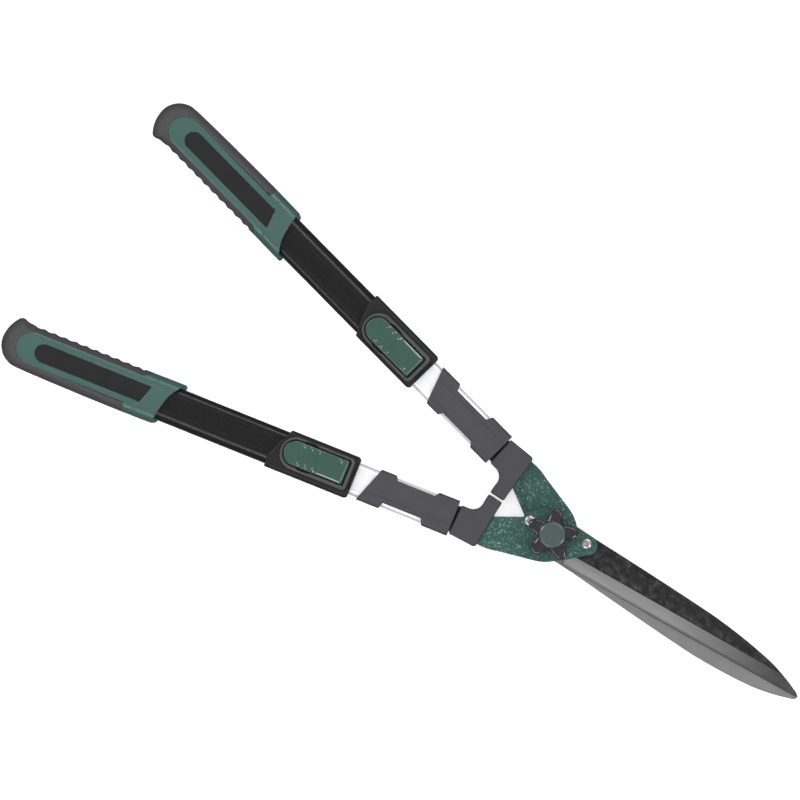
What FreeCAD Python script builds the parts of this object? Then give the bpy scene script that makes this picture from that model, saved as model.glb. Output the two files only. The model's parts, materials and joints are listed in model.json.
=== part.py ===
import FreeCAD, Part
import os
import re
import Sketcher

# Telescopic hedge shears, closed and collapsed. Millimetres and degrees.
# Origin: on the pivot axis, at the plane the tool rests on. +X to the blade tips, +Z to the knob.
# "Left" is the handle at +Y, whose blade lies underneath. "Right" is the handle at -Y.

DRIVING_SIZES = [
    ("blade_plane", 14.0, "rest plane to the plane where the blades meet"),
    ("handle_angle", 11.8, "each handle's angle to the tool's axis, degrees"),
    ("handle_offset", 17.6, "handle axis to tool axis, at the pivot"),
    ("running_gap", 0.05, "radial clearance of everything that turns"),
    ("blade_gauge", 3.5, "blade thickness"),
    ("blade_gap", 0.05, "gap between the two blades"),
    ("blade_reach", 235.0, "pivot to blade tip"),
    ("edge_angle", 4.1, "cutting edge to the tool's axis, degrees"),
    ("edge_offset", 16.8, "pivot to the line of the cutting edge"),
    ("edge_bow", 0.6, "rise of the convex cutting edge over its ends"),
    ("bevel_width", 10.3, "ground bevel, across the blade"),
    ("edge_thickness", 0.7, "blade thickness left at the cutting edge"),
    ("heel_x", 19.0, "pivot to the heel of the cutting edge"),
    ("tang_gauge", 4.0, "tang thickness"),
    ("shank_width", 22.0, "tang's width inside the tube"),
    ("shank_end", 112.0, "pivot to the end of the tang, along the handle"),
    ("rivet_x", 26.8, "front blade rivet"),
    ("rivet_y", 9.2, "front blade rivet"),
    ("rear_rivet_x", 21.0, "rear blade rivet, behind the pivot"),
    ("rear_rivet_y", 0.5, "rear blade rivet, below the tool's axis"),
    ("rivet_shank", 3.0, "blade rivet radius"),
    ("rivet_head", 4.3, "blade rivet head radius"),
    ("rivet_dome", 1.3, "blade rivet head height"),
    ("rivet_sink", 1.575, "depth of the rivet's countersunk end in the blade"),
    ("step_front", 50.0, "pivot to the front of the tang's step"),
    ("step_rear", 60.0, "pivot to the rear of the tang's step"),
    ("shank_front", 64.0, "pivot to the front of the tang's shank, along the handle"),
    ("elbow_height", 20.0, "elbow thickness"),
    ("elbow_rounding", 2.0, "elbow edge radius"),
    ("tube_front", 75.5, "pivot to the front of the inner tube"),
    ("inner_width", 26.4, "inner tube"),
    ("inner_height", 15.2, "inner tube"),
    ("inner_corner", 5.0, "inner tube corner radius"),
    ("inner_wall", 1.6, "inner tube"),
    ("inner_rear", 417.0, "pivot to the rear of the inner tube"),
    ("outer_width", 30.6, "outer tube"),
    ("outer_height", 20.4, "outer tube"),
    ("outer_corner", 8.6, "outer tube corner radius, outer side"),
    ("outer_corner_in", 6.5, "outer tube corner radius, inner side"),
    ("outer_wall", 1.5, "outer tube"),
    ("outer_front", 205.0, "pivot to the front of the outer tube"),
    ("outer_rear", 440.0, "pivot to the rear of the outer tube"),
    ("face_out", 6.0, "recessed face, from the handle axis outwards"),
    ("face_in", 8.5, "recessed face, from the handle axis inwards"),
    ("face_depth", 0.6, "recessed face"),
    ("slide_gap", 0.08, "clearance of the sliding fits"),
    ("tube_rivet", 2.5, "tube rivet radius"),
    ("tube_rivet_head", 4.0, "tube rivet head radius"),
    ("tube_rivet_crown", 1.0, "tube rivet head height"),
    ("tube_rivet_step", 16.0, "between the two tube rivets"),
    ("tube_rivet_front", 88.0, "pivot to the first tube rivet"),
    ("guide_length", 5.0, "guide plug behind the inner tube"),
    ("guide_stub", 14.0, "guide plug inside the inner tube"),
    ("plug_flange", 2.0, "tube plug behind the outer tube"),
    ("plug_stub", 12.0, "tube plug inside the outer tube"),
    ("cover_width", 30.0, "front cover"),
    ("cover_height", 20.4, "front cover"),
    ("cover_front", 74.5, "pivot to the front of the cover"),
    ("cover_rear", 153.0, "pivot to the rear of the cover, outer side"),
    ("sleeve_width", 35.0, "lock sleeve"),
    ("sleeve_top", 13.0, "handle axis to the sleeve's top"),
    ("sleeve_bottom", 12.6, "handle axis to the sleeve's underside"),
    ("sleeve_front", 160.0, "pivot to the front of the sleeve"),
    ("sleeve_rear", 231.0, "pivot to the rear of the sleeve, outer side"),
    ("sleeve_corner", 5.0, "sleeve edge radius"),
    ("screw_s", 218.0, "pivot to the sleeve's screw"),
    ("screw_radius", 1.6, "sleeve screw"),
    ("screw_head", 3.1, "sleeve screw head radius"),
    ("screw_seat", 1.6, "depth of the screw's seat"),
    ("rim_top", 15.2, "handle axis to the top of the rim round the lever"),
    ("lever_floor", 11.6, "handle axis to the floor of the lever's recess"),
    ("lever_top", 16.4, "handle axis to the top of the lever"),
    ("lever_radius", 10.0, "half of the lever's width"),
    ("lever_shift", 1.5, "lever centre to handle axis, inwards"),
    ("lever_rear", 211.5, "pivot to the centre of the lever's round end"),
    ("lever_margin", 1.0, "gap round the lever"),
    ("lever_lift", 0.2, "gap under the lever"),
    ("pin_s", 170.9, "pivot to the lever's pin"),
    ("pin_height", 13.1, "handle axis to the lever's pin"),
    ("pin_radius", 1.25, "lever pin"),
    ("pin_reach", 2.6, "lever's side to the pin's end, in the rim"),
    ("hub_radius", 3.3, "lever hub"),
    ("cam_radius", 3.0, "cam circle"),
    ("cam_offset", 0.7, "cam circle's centre below the pin"),
    ("lever_wall", 2.0, "lever's side wall"),
    ("shoe_front", 163.5, "pivot to the front of the lock shoe"),
    ("shoe_rear", 178.5, "pivot to the rear of the lock shoe"),
    ("shoe_gap", 0.02, "lock shoe to inner tube"),
    ("cam_gap", 0.03, "cam to lock shoe"),
    ("grip_width", 40.6, "grip, at its widest"),
    ("grip_height", 28.0, "grip"),
    ("grip_rounding", 9.0, "grip edge radius"),
    ("grip_rear", 457.0, "pivot to the rear of the grip"),
    ("grip_wall", 1.8, "grip's sleeve round the outer tube"),
    ("mouth_depth", 9.0, "cut of the grip's front end, from its upper face"),
    ("right_grip_shift", 6.0, "right grip sits this much further back"),
    ("inlay_depth", 1.6, "inlay recess"),
    ("inlay_sink", 0.5, "inlay's face below the grip's face"),
    ("bolt_radius", 4.0, "pivot bolt, M8"),
    ("bolt_head", 10.0, "pivot bolt head radius"),
    ("bolt_neck", 10.0, "square neck"),
    ("bolt_top", 35.0, "rest plane to the bolt's end"),
    ("bush_radius", 6.0, "pivot bush"),
    ("washer_radius", 10.0, "thrust washer"),
    ("washer_gauge", 1.2, "thrust washer and spring washer"),
    ("knob_reach", 21.3, "pivot to a lobe's tip"),
    ("knob_waist", 12.0, "pivot to the hollow between two lobes"),
    ("knob_height", 14.5, "knob"),
    ("lobe_shoulder", 18.3, "pivot to the ends of a lobe's round tip"),
    ("lobe_spread", 12.0, "half of a lobe's round tip, seen from the pivot, degrees"),
    ("lobe_angle", 39.0, "first lobe, from +X, degrees"),
    ("cap_radius", 9.8, "knob cap"),
    ("cap_sink", 2.0, "knob cap's recess"),
    ("cap_dome", 1.4, "knob cap above the knob"),
    ("nut_flats", 13.0, "nut across flats, M8"),
    ("nut_height", 6.5, "nut"),
]
LOBES = 5
HEX = 6
CLEAR = "60"        # longer than any cut that has to run out of its piece

doc = FreeCAD.newDocument("HedgeShears")
sheet = doc.addObject("Spreadsheet::Sheet", "Sizes")
for row, (alias, number, meaning) in enumerate(DRIVING_SIZES, 1):
    sheet.set(f"A{row}", alias)
    sheet.set(f"B{row}", str(number))
    sheet.setAlias(f"B{row}", alias)
    sheet.set(f"C{row}", meaning)
doc.recompute()
ALIAS = re.compile(r"\b(" + "|".join(alias for alias, _, _ in DRIVING_SIZES) + r")\b")
SUBPARTS = []


# ---------------------------------------------------------------- formulas and sketches

def bound(formula):
    """The formula, with each size's name made a reference to its cell."""
    return ALIAS.sub(lambda found: "Sizes." + found.group(0), str(formula))


def worth(formula):
    """The formula's value now."""
    result = sheet.evalExpression(bound(formula))
    return float(getattr(result, "Value", result))


def place(x, y):
    return FreeCAD.Vector(worth(x), worth(y), 0)


def origin_plane(body, role):
    return next(feature for feature in body.Origin.OriginFeatures if feature.Role == role)


def new_body(name):
    return doc.addObject("PartDesign::Body", name)


def new_sketch(body, name, role, offset=0, across=0):
    """A sketch on one of the body's own planes, moved along its normal and along its first axis."""
    sketch = body.newObject("Sketcher::SketchObject", name)
    sketch.AttachmentSupport = [(origin_plane(body, role), "")]
    sketch.MapMode = "FlatFace"
    sketch.setExpression("AttachmentOffset.Base.z", bound(offset))
    sketch.setExpression("AttachmentOffset.Base.x", bound(across))
    return sketch


def fix_point(sketch, geometry, end, x, y):
    """Binds a point's two coordinates to their formulas."""
    for kind, formula in (("DistanceX", x), ("DistanceY", y)):
        index = sketch.addConstraint(
            Sketcher.Constraint(kind, -1, 1, geometry, end, worth(formula)))
        sketch.setExpression(f"Constraints[{index}]", bound(formula))


def outline(sketch, *steps):
    """A closed outline. Each step is a corner (x, y), reached by a line, or (mx, my, x, y),
    reached by an arc through (mx, my). The first step is where the outline starts."""
    corners = [step[-2:] for step in steps]
    sides = []
    for number, step in enumerate(steps):
        start, end = place(*corners[number - 1]), place(*step[-2:])
        if len(step) == 2:
            side = sketch.addGeometry(Part.LineSegment(start, end), False)
            sides.append((side, 1, 2))
            continue
        side = sketch.addGeometry(Part.Arc(start, place(*step[:2]), end), False)
        forward = (sketch.getPoint(side, 1) - start).Length < (sketch.getPoint(side, 2) - start).Length
        sides.append((side, 1, 2) if forward else (side, 2, 1))
        middle = sketch.addGeometry(Part.Point(place(*step[:2])), True)
        sketch.addConstraint(Sketcher.Constraint("PointOnObject", middle, 1, side))
        fix_point(sketch, middle, 1, *step[:2])
    for number, (side, first, last) in enumerate(sides):
        following, first_of_following, _ = sides[(number + 1) % len(sides)]
        sketch.addConstraint(
            Sketcher.Constraint("Coincident", side, last, following, first_of_following))
        fix_point(sketch, side, last, *corners[number])


def circle(sketch, x, y, radius):
    ring = sketch.addGeometry(
        Part.Circle(place(x, y), FreeCAD.Vector(0, 0, 1), worth(radius)), False)
    fix_point(sketch, ring, 3, x, y)
    index = sketch.addConstraint(Sketcher.Constraint("Radius", ring, worth(radius)))
    sketch.setExpression(f"Constraints[{index}]", bound(radius))


def rounded(width, height, corner, x="0", y="0"):
    """The steps of a rectangle with round corners, about (x, y)."""
    steps = []
    for across, up in ((1, 1), (-1, 1), (-1, -1), (1, -1)):
        side = f"{x}+{across}*({width})/2"
        level = f"{y}+{up}*({height})/2"
        near = (side, f"{level}-{up}*({corner})")
        far = (f"{side}-{across}*({corner})", level)
        bulge = (f"{side}-{across}*({corner})*(1-cos(45))", f"{level}-{up}*({corner})*(1-cos(45))")
        first, last = (near, far) if across == up else (far, near)
        steps += [first, bulge + last]
    return steps


def rectangle(width, height):
    """The corners of a rectangle about the origin."""
    return [(f"{across}*({width})/2", f"{up}*({height})/2")
            for across, up in ((1, 1), (-1, 1), (-1, -1), (1, -1))]


def polygon(count, radius, turn="0"):
    """The corners of a regular polygon about the origin."""
    return [(f"({radius})*cos({360 / count * n}+{turn})", f"({radius})*sin({360 / count * n}+{turn})")
            for n in range(count)]


# ---------------------------------------------------------------- features

def pad(body, sketch, length, midplane=False):
    feature = body.newObject("PartDesign::Pad", sketch.Name + "_pad")
    feature.Profile = sketch
    feature.setExpression("Length", bound(length))
    feature.Midplane = midplane
    sketch.Visibility = False
    return feature


def pocket(body, sketch, length=None, reverse=False):
    """Cuts the sketch into the body, through everything when no length is given."""
    before = body.Tip
    doc.recompute()
    feature = body.newObject("PartDesign::Pocket", sketch.Name + "_pocket")
    feature.Profile = sketch
    if length is None:
        feature.Type = "ThroughAll"
        feature.Midplane = True
    else:
        feature.setExpression("Length", bound(length))
        feature.Reversed = reverse
    doc.recompute()
    if feature.Shape.Volume > before.Shape.Volume - 1e-3:
        raise RuntimeError(f"{feature.Name} cuts nothing")
    return feature


def revolve(body, sketch):
    feature = body.newObject("PartDesign::Revolution", sketch.Name + "_turn")
    feature.Profile = sketch
    feature.ReferenceAxis = (sketch, ["V_Axis"])
    feature.Angle = 360
    return feature


def fillet(body, radius, wanted):
    """Rounds the edges for which wanted(edge) is true."""
    doc.recompute()
    base = body.Tip
    names = [f"Edge{n}" for n, edge in enumerate(base.Shape.Edges, 1) if wanted(edge)]
    feature = body.newObject("PartDesign::Fillet", base.Name + "_fillet")
    feature.Base = (base, names)
    feature.setExpression("Radius", bound(radius))
    doc.recompute()
    return feature


def at_level(*levels):
    """True for an edge that lies flat at one of the levels."""
    heights = [worth(level) for level in levels]

    def check(edge):
        box = edge.BoundBox
        return box.ZLength < 1e-4 and any(abs(box.ZMin - height) < 1e-3 for height in heights)
    return check


def prism(name, steps, low, high):
    """A body with one upright outline, from one level to another."""
    body = new_body(name)
    sketch = new_sketch(body, name + "_plan", "XY_Plane", low)
    outline(sketch, *steps)
    pad(body, sketch, f"({high})-({low})")
    return body


def section(name, rear, front, *loops):
    """A body with one cross-section, along the handle from rear to front."""
    body = new_body(name)
    sketch = new_sketch(body, name + "_section", "YZ_Plane", rear)
    for loop in loops:
        outline(sketch, *loop)
    pad(body, sketch, f"({front})-({rear})")
    return body


def turned(name, *steps, x="0", y="0"):
    """A body turned about an upright axis at (x, y). Each step is (radius, height)."""
    body = new_body(name)
    sketch = new_sketch(body, name + "_profile", "XZ_Plane", f"-({y})", x)
    outline(sketch, *steps)
    revolve(body, sketch)
    return body


def cut_plan(body, name, steps, low, length):
    """Cuts an upright outline into the body, from a level upwards."""
    sketch = new_sketch(body, name, "XY_Plane", low)
    outline(sketch, *steps)
    return pocket(body, sketch, length, reverse=True)


def drill(body, name, role, x, y, radius):
    sketch = new_sketch(body, name, role)
    circle(sketch, x, y, radius)
    return pocket(body, sketch)


def combine(kind, name, *shapes):
    result = doc.addObject("Part::" + kind, name)
    if kind == "Cut":
        result.Base, result.Tool = shapes
    else:
        result.Shapes = list(shapes)
    return result


# ---------------------------------------------------------------- places

def on_handle(thing):
    """Puts a piece drawn along the left handle's axis on that handle."""
    thing.Placement = FreeCAD.Placement(
        FreeCAD.Vector(0, worth("handle_offset"), worth("blade_plane")),
        FreeCAD.Rotation(FreeCAD.Vector(0, 0, -1), worth("handle_angle")))
    thing.setExpression("Placement.Base.y", bound("handle_offset"))
    thing.setExpression("Placement.Base.z", bound("blade_plane"))
    thing.setExpression("Placement.Rotation.Angle", bound("handle_angle*1deg"))
    return thing


def on_half(thing, side):
    """Puts a piece drawn above the plane where the blades meet on its half of the tool."""
    turn = FreeCAD.Rotation() if side == "right" else FreeCAD.Rotation(FreeCAD.Vector(1, 0, 0), 180)
    thing.Placement = FreeCAD.Placement(FreeCAD.Vector(0, 0, worth("blade_plane")), turn)
    thing.setExpression("Placement.Base.z", bound("blade_plane"))
    return thing


def subpart(thing, label):
    thing.Label = label
    SUBPARTS.append(thing)
    return thing


def both_handles(thing, name, shift=0):
    """The left handle's piece, and its mirror image on the right handle."""
    subpart(on_handle(thing), "left_" + name)
    twin = doc.addObject("Part::Mirroring", "right_" + name)
    twin.Source = thing
    twin.Normal = FreeCAD.Vector(0, 1, 0)
    twin.setExpression("Placement.Base.x", bound(f"-({shift})*cos(handle_angle)"))
    twin.setExpression("Placement.Base.y", bound(f"-({shift})*sin(handle_angle)"))
    subpart(twin, "right_" + name)


# ---------------------------------------------------------------- blades, tangs and rivets

# Both halves are drawn as the upper, right-hand one: z is measured from the plane where the blades
# meet, and the arm of the tang goes to -X -Y.

def right_handle(s, t):
    """A point of the right handle, s along it and t outwards, in the tool's axes."""
    return (f"({s})*cos(handle_angle)+({t})*sin(handle_angle)",
            f"-(handle_offset-({s})*sin(handle_angle)+({t})*cos(handle_angle))")


BLADE_FACE = "blade_gap/2"
BLADE_BACK = "blade_gap/2+blade_gauge"
TANG_BACK = "blade_gap/2+blade_gauge+tang_gauge"


def make_blade_rivets(side):
    """Two rivets: flush and countersunk in the blade's face, domed on the tang."""
    rivets = []
    for place_name, x, y in (("front", "rivet_x", "rivet_y"),
                             ("rear", "-rear_rivet_x", "-rear_rivet_y")):
        body = turned(
            f"{side}_{place_name}_rivet",
            ("0", BLADE_FACE), ("rivet_head", BLADE_FACE), ("rivet_shank", f"{BLADE_FACE}+rivet_sink"),
            ("rivet_shank", TANG_BACK), ("rivet_head", TANG_BACK),
            ("rivet_head*0.8", f"{TANG_BACK}+rivet_dome*0.75", "rivet_head*0.4", f"{TANG_BACK}+rivet_dome"),
            ("0", f"{TANG_BACK}+rivet_dome"), x=x, y=y)
        rivets.append(body)
    shown = doc.addObject("Part::Compound", f"{side}_blade_rivets")
    shown.Links = rivets
    subpart(on_half(shown, side), f"{side}_blade_rivets")
    return combine("MultiFuse", f"{side}_rivet_room", *rivets)


def make_blade(side, rivets):
    """The blade, drawn with its cutting edge along X. The bevel is one flat facet."""
    name = f"{side}_blade"
    edge = "-edge_offset"
    middle = "(heel_x+blade_reach)/2"
    steps = [(middle, f"{edge}-edge_bow", "heel_x", edge), ("heel_x", "-12"), ("10", "-14"),
             ("-9", "-15.5", "-21", "-4.9"), ("-27", "1.1", "-21", "7"),
             ("-17.5", "12.5", "-10.5", "17.2"), ("32", "14.1"), ("91", "11.1", "141", "7.8"),
             ("171", "4.1", "blade_reach-34.5", "-1.6"),
             ("blade_reach-18", "-6.9", "blade_reach-5.2", "-12.4"),
             ("blade_reach-1.5", "-14.5", "blade_reach", f"{edge}+0.7"), ("blade_reach-0.7", edge)]
    body = prism(name + "_blank", steps, BLADE_FACE, BLADE_BACK)
    bevel = new_sketch(body, name + "_bevel", "YZ_Plane", "heel_x")
    outline(bevel, (edge, "blade_gap/2+edge_thickness"), (f"{edge}+bevel_width", BLADE_BACK),
            (f"{edge}+bevel_width", f"{BLADE_BACK}+1"), (f"{edge}-1", f"{BLADE_BACK}+1"),
            (f"{edge}-1", "blade_gap/2+edge_thickness"))
    pocket(body, bevel, "blade_reach", reverse=True)
    body.Placement.Rotation = FreeCAD.Rotation(FreeCAD.Vector(0, 0, 1), worth("edge_angle"))
    body.setExpression("Placement.Rotation.Angle", bound("edge_angle*1deg"))
    bore = turned(name + "_bore", ("0", "0"), (f"bush_radius+running_gap*{int(side == 'right')}", "0"),
                  (f"bush_radius+running_gap*{int(side == 'right')}", TANG_BACK), ("0", TANG_BACK))
    blade = combine("Cut", name, body, combine("MultiFuse", name + "_holes", rivets, bore))
    return subpart(on_half(blade, side), name)


def make_tang(side, rivets):
    """A plate over the blade, stepped inside the elbow to a shank that lies in the tube."""
    name = f"{side}_tang"
    half = "shank_width/2"
    steps = [("-46", "-13"), ("-26", "0"), ("-20.7", "11.4", "-12", "16.5"), ("29", "16.5"),
             ("35.6", "12", "35", "4"), ("20", "-10.5"), ("13.5", "-16"),
             ("7.5", "-21.2", "0", "-25"), ("-30", "-35.5"), ("-38", "-38.4", "-46", "-39.5"),
             right_handle("-shank_front", half), right_handle("-shank_end", half),
             right_handle("-shank_end", f"-{half}"), right_handle("-shank_front", f"-{half}")]
    body = prism(name + "_plate", steps, "-tang_gauge/2", TANG_BACK)
    step = new_sketch(body, name + "_step", "XZ_Plane")
    outline(step, ("-130", "tang_gauge/2"), ("-step_rear", "tang_gauge/2"), ("-step_front", TANG_BACK),
            ("-step_front", "12"), ("-130", "12"))
    outline(step, (CLEAR, "-12"), (CLEAR, BLADE_BACK), ("-step_front", BLADE_BACK),
            ("-step_rear", "-tang_gauge/2"), ("-step_rear", "-12"))
    pocket(body, step)
    for number in range(2):
        hole = right_handle(f"-(tube_rivet_front+{number}*tube_rivet_step)", "0")
        drill(body, f"{name}_hole_{number}", "XY_Plane", *hole, "tube_rivet")
    pivot = new_sketch(body, name + "_pivot", "XY_Plane")
    if side == "left":
        outline(pivot, *rounded("bolt_neck", "bolt_neck", "0.6"))
    else:
        circle(pivot, "0", "0", "bush_radius+running_gap")
    pocket(body, pivot)
    tang = combine("Cut", name, body, rivets)
    return subpart(on_half(tang, side), name)


def make_elbow(side, tang):
    """The moulded elbow over the tang, with the arm whose end meets the other elbow's arm."""
    name = f"{side}_elbow"
    body = prism(name + "_block", [
        ("-47.5", "-0.8"), ("-60", "-0.8"), ("-60", "-8"), ("-61.6", "-15.8", "-67", "-19.2"),
        ("-73", "-20.4"), ("-69.5", "-45"), ("-49", "-43"), ("-46.9", "-42.1", "-46", "-40")],
        "-elbow_height/2", "elbow_height/2")
    fillet(body, "elbow_rounding", at_level("-elbow_height/2", "elbow_height/2"))
    moved = on_half(body, side)
    return subpart(combine("Cut", name, moved, tang), name)


def make_halves():
    for side in ("left", "right"):
        rivets = make_blade_rivets(side)
        make_blade(side, rivets)
        make_elbow(side, make_tang(side, rivets))


# ---------------------------------------------------------------- handle pieces, on the left handle

# x is -s: a place at distance s behind the pivot is at x = -s. y points away from the tool's axis,
# and z up from the handle's axis.

def tube_rivet_places():
    return [f"-(tube_rivet_front+{number}*tube_rivet_step)" for number in range(2)]


def outer_profile(shrink="0"):
    """The outer tube's section, drawn smaller all round: a recessed face above and below."""
    wide, tall = f"(outer_width/2-({shrink}))", f"(outer_height/2-({shrink}))"
    floor = f"({tall}-face_depth)"
    groove = [("face_out", tall), ("face_out-0.4", floor), ("-face_in+0.4", floor), ("-face_in", tall)]
    steps = []
    for across, radius in (("", "outer_corner"), ("-", "outer_corner_in")):
        corner = f"({radius}-({shrink}))"
        bulge = f"{corner}*(1-cos(45))"
        steps.append([(f"{across}({wide})", f"{tall}-{corner}"),
                      (f"{across}({wide}-{bulge})", f"{tall}-{bulge}"),
                      (f"{across}({wide}-{corner})", tall)])
    (side, bulge, crown), (side_in, bulge_in, crown_in) = steps
    top = [side, bulge + crown] + groove + [crown_in, bulge_in + side_in]
    lower = [(x, f"-({y})") for x, y in (side_in, bulge_in, crown_in, *groove[::-1], crown, bulge, side)]
    bottom = [lower[0], lower[1] + lower[2]] + lower[3:7] + [lower[7], lower[8] + lower[9]]
    return top + bottom


def inner_profile(grow="0"):
    return rounded(f"inner_width+2*({grow})", f"inner_height+2*({grow})", f"inner_corner+({grow})")


def make_inner_tube():
    body = section("inner_tube", "-inner_rear", "-tube_front", inner_profile(),
                   inner_profile("-inner_wall"))
    for number, x in enumerate(tube_rivet_places()):
        drill(body, f"inner_tube_hole_{number}", "XY_Plane", x, "0", "tube_rivet")
    both_handles(body, "inner_tube")


def make_tang_packing():
    """Fills the tube round the tang's shank."""
    body = section("tang_packing", "-shank_end-2", "-tube_front-0.5",
                   inner_profile("-inner_wall"))
    slot = new_sketch(body, "packing_slot", "YZ_Plane", "-shank_end")
    outline(slot, *rectangle("shank_width", "tang_gauge"))
    pocket(body, slot, "shank_end", reverse=True)
    for number, x in enumerate(tube_rivet_places()):
        drill(body, f"packing_hole_{number}", "XY_Plane", x, "0", "tube_rivet")
    both_handles(body, "tang_packing")


def make_tube_rivets():
    """Two rivets with flat heads through tube, packing and shank."""
    rivets = []
    half = "inner_height/2"
    for number, x in enumerate(tube_rivet_places()):
        body = turned(f"tube_rivet_{number}",
                      ("0", f"-{half}-tube_rivet_crown"),
                      ("tube_rivet_head", f"-{half}-tube_rivet_crown"),
                      ("tube_rivet_head", f"-{half}"), ("tube_rivet", f"-{half}"),
                      ("tube_rivet", half), ("tube_rivet_head", half),
                      ("tube_rivet_head", f"{half}+tube_rivet_crown"),
                      ("0", f"{half}+tube_rivet_crown"), x=x)
        rivets.append(body)
    both_handles(combine("MultiFuse", "tube_rivets", *rivets), "tube_rivets")


def make_guide_plug():
    """Closes the inner tube's rear end and runs in the outer tube."""
    body = section("guide_plug", "-inner_rear-guide_length", "-inner_rear",
                   outer_profile("outer_wall+slide_gap"))
    stub = new_sketch(body, "guide_plug_stub", "YZ_Plane", "-inner_rear")
    outline(stub, *inner_profile("-inner_wall"))
    pad(body, stub, "guide_stub")
    both_handles(body, "guide_plug")


def make_front_cover():
    """A shell round the inner tube, open at both sides so that the tube shows."""
    half = "cover_width/2"
    crown = "cover_height/2"
    top = [(half, "5.5"), (f"{half}-1", "8.2", f"{half}-3.4", f"{crown}-0.7"),
           ("8.6", f"{crown}-0.35"), ("8.2", f"{crown}-0.9"), ("6", f"{crown}-0.9"), ("5.5", crown),
           ("-8.6", crown), ("-9.2", f"{crown}-0.7"), (f"-{half}+3.4", f"{crown}-0.7"),
           (f"-{half}+1", "8.2", f"-{half}", "5.5")]
    bottom = [(f"-{half}", "-5.5"), (f"-{half}+1", "-8.2", f"-{half}+3.4", f"-{crown}+0.7"),
              (f"{half}-3.4", f"-{crown}+0.7"), (f"{half}-1", "-8.2", half, "-5.5")]
    body = section("front_cover", "-cover_rear", "-cover_front", top + bottom, inner_profile())
    cuts = new_sketch(body, "cover_cuts", "XY_Plane")
    outline(cuts, ("-cover_rear", half), ("-cover_rear+11", f"-{half}"),
            ("-cover_rear+10", f"-{half}-2"), ("-cover_rear-4", f"-{half}-2"),
            ("-cover_rear-4", half))
    outline(cuts, ("-134", f"{half}+1"), ("-131.5", "9.7"), ("-99", "9.7"), ("-96", f"{half}+1"))
    outline(cuts, ("-129.5", f"-{half}-1"), ("-127", "-11.3"), ("-95", "-11.3"), ("-91.5", f"-{half}-1"))
    pocket(body, cuts)
    heads = new_sketch(body, "cover_rivet_room", "XY_Plane")
    for x in tube_rivet_places():
        circle(heads, x, "0", "tube_rivet_head+0.3")
    room = pocket(body, heads, "inner_height+2.6")
    room.Midplane = True
    both_handles(body, "front_cover")


def make_outer_tube():
    body = section("outer_tube", "-outer_rear", "-outer_front", outer_profile(),
                   outer_profile("outer_wall"))
    drill_sleeve_screw(body, "outer_tube_screw_hole")
    both_handles(body, "outer_tube")


PIN_START = "lever_shift-lever_radius-pin_reach"
PIN_LENGTH = "2*(lever_radius+pin_reach)"


def drill_sleeve_screw(body, name):
    sketch = new_sketch(body, name, "XY_Plane")
    circle(sketch, "-screw_s", "0", "screw_radius")
    return pocket(body, sketch, CLEAR)


def lever_plan(margin="0", front="0"):
    """The lever's outline from above, drawn larger all round: round at the rear, square in front."""
    reach = f"(lever_radius+({margin}))"
    return [(f"-pin_s+hub_radius+({front})", f"-lever_shift-{reach}"),
            (f"-pin_s+hub_radius+({front})", f"-lever_shift+{reach}"),
            ("-lever_rear", f"-lever_shift+{reach}"),
            (f"-lever_rear-{reach}", "-lever_shift", "-lever_rear", f"-lever_shift-{reach}")]


def shoe_plan(margin="0"):
    """The lock shoe's outline from above, drawn larger all round."""
    front, rear = f"-shoe_front+({margin})", f"-shoe_rear-({margin})"
    inner, outer = f"-12-({margin})", f"9+({margin})"
    return [(rear, inner), (front, inner), (front, outer), (rear, outer)]


def make_lock_sleeve():
    """The sleeve on the front of the outer tube: it guides the inner tube and houses the lock."""
    half = "sleeve_width/2"
    steps = [("-sleeve_front", half), ("-sleeve_rear", half), ("-sleeve_rear", "8"),
             ("-sleeve_rear+4.5", "-4", "-sleeve_rear+11", f"-{half}"), ("-sleeve_front", f"-{half}")]
    body = prism("lock_sleeve", steps, "-sleeve_bottom", "sleeve_top")

    def long_edge(edge):
        return edge.BoundBox.XLength > 50 and abs(edge.BoundBox.YMin) > 17
    fillet(body, "sleeve_corner", long_edge)
    rim = new_sketch(body, "sleeve_rim", "XY_Plane", "lever_floor")
    outline(rim, *lever_plan("3.2", "4.4"))
    pad(body, rim, "rim_top-lever_floor")
    cut_plan(body, "lever_recess", lever_plan("lever_margin", "lever_margin"), "lever_floor", CLEAR)
    reach = "(lever_radius+lever_margin)"
    front = "-pin_s+hub_radius+lever_margin"
    cam_room = [("-176", f"-lever_shift-{reach}"), (front, f"-lever_shift-{reach}"),
                (front, f"-lever_shift+{reach}"), ("-176", f"-lever_shift+{reach}")]
    cut_plan(body, "cam_room", cam_room, "0", CLEAR)
    shoe_room = shoe_plan("0.5")
    cut_plan(body, "shoe_room", shoe_room, "0", "inner_height/2+2.2")
    cut_plan(body, "front_slot", [("-164.3", "-9"), ("-161.8", "-9"), ("-161.8", "10"),
                                  ("-164.3", "10")], "sleeve_top-1.5", CLEAR)
    rear_bore = new_sketch(body, "sleeve_rear_bore", "YZ_Plane", "-outer_front")
    outline(rear_bore, *outer_profile())
    pocket(body, rear_bore, CLEAR)
    front_bore = new_sketch(body, "sleeve_front_bore", "YZ_Plane", "-outer_front")
    outline(front_bore, *inner_profile("slide_gap"))
    pocket(body, front_bore, CLEAR, reverse=True)
    pin_hole = new_sketch(body, "sleeve_pin_hole", "XZ_Plane", PIN_START)
    circle(pin_hole, "-pin_s", "pin_height", "pin_radius")
    pocket(body, pin_hole, PIN_LENGTH, reverse=True)
    drill_sleeve_screw(body, "sleeve_screw_hole")
    seat = new_sketch(body, "sleeve_screw_seat", "XY_Plane", "-sleeve_bottom+screw_seat")
    circle(seat, "-screw_s", "0", "screw_head+0.1")
    pocket(body, seat, CLEAR)
    both_handles(body, "lock_sleeve")


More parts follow.
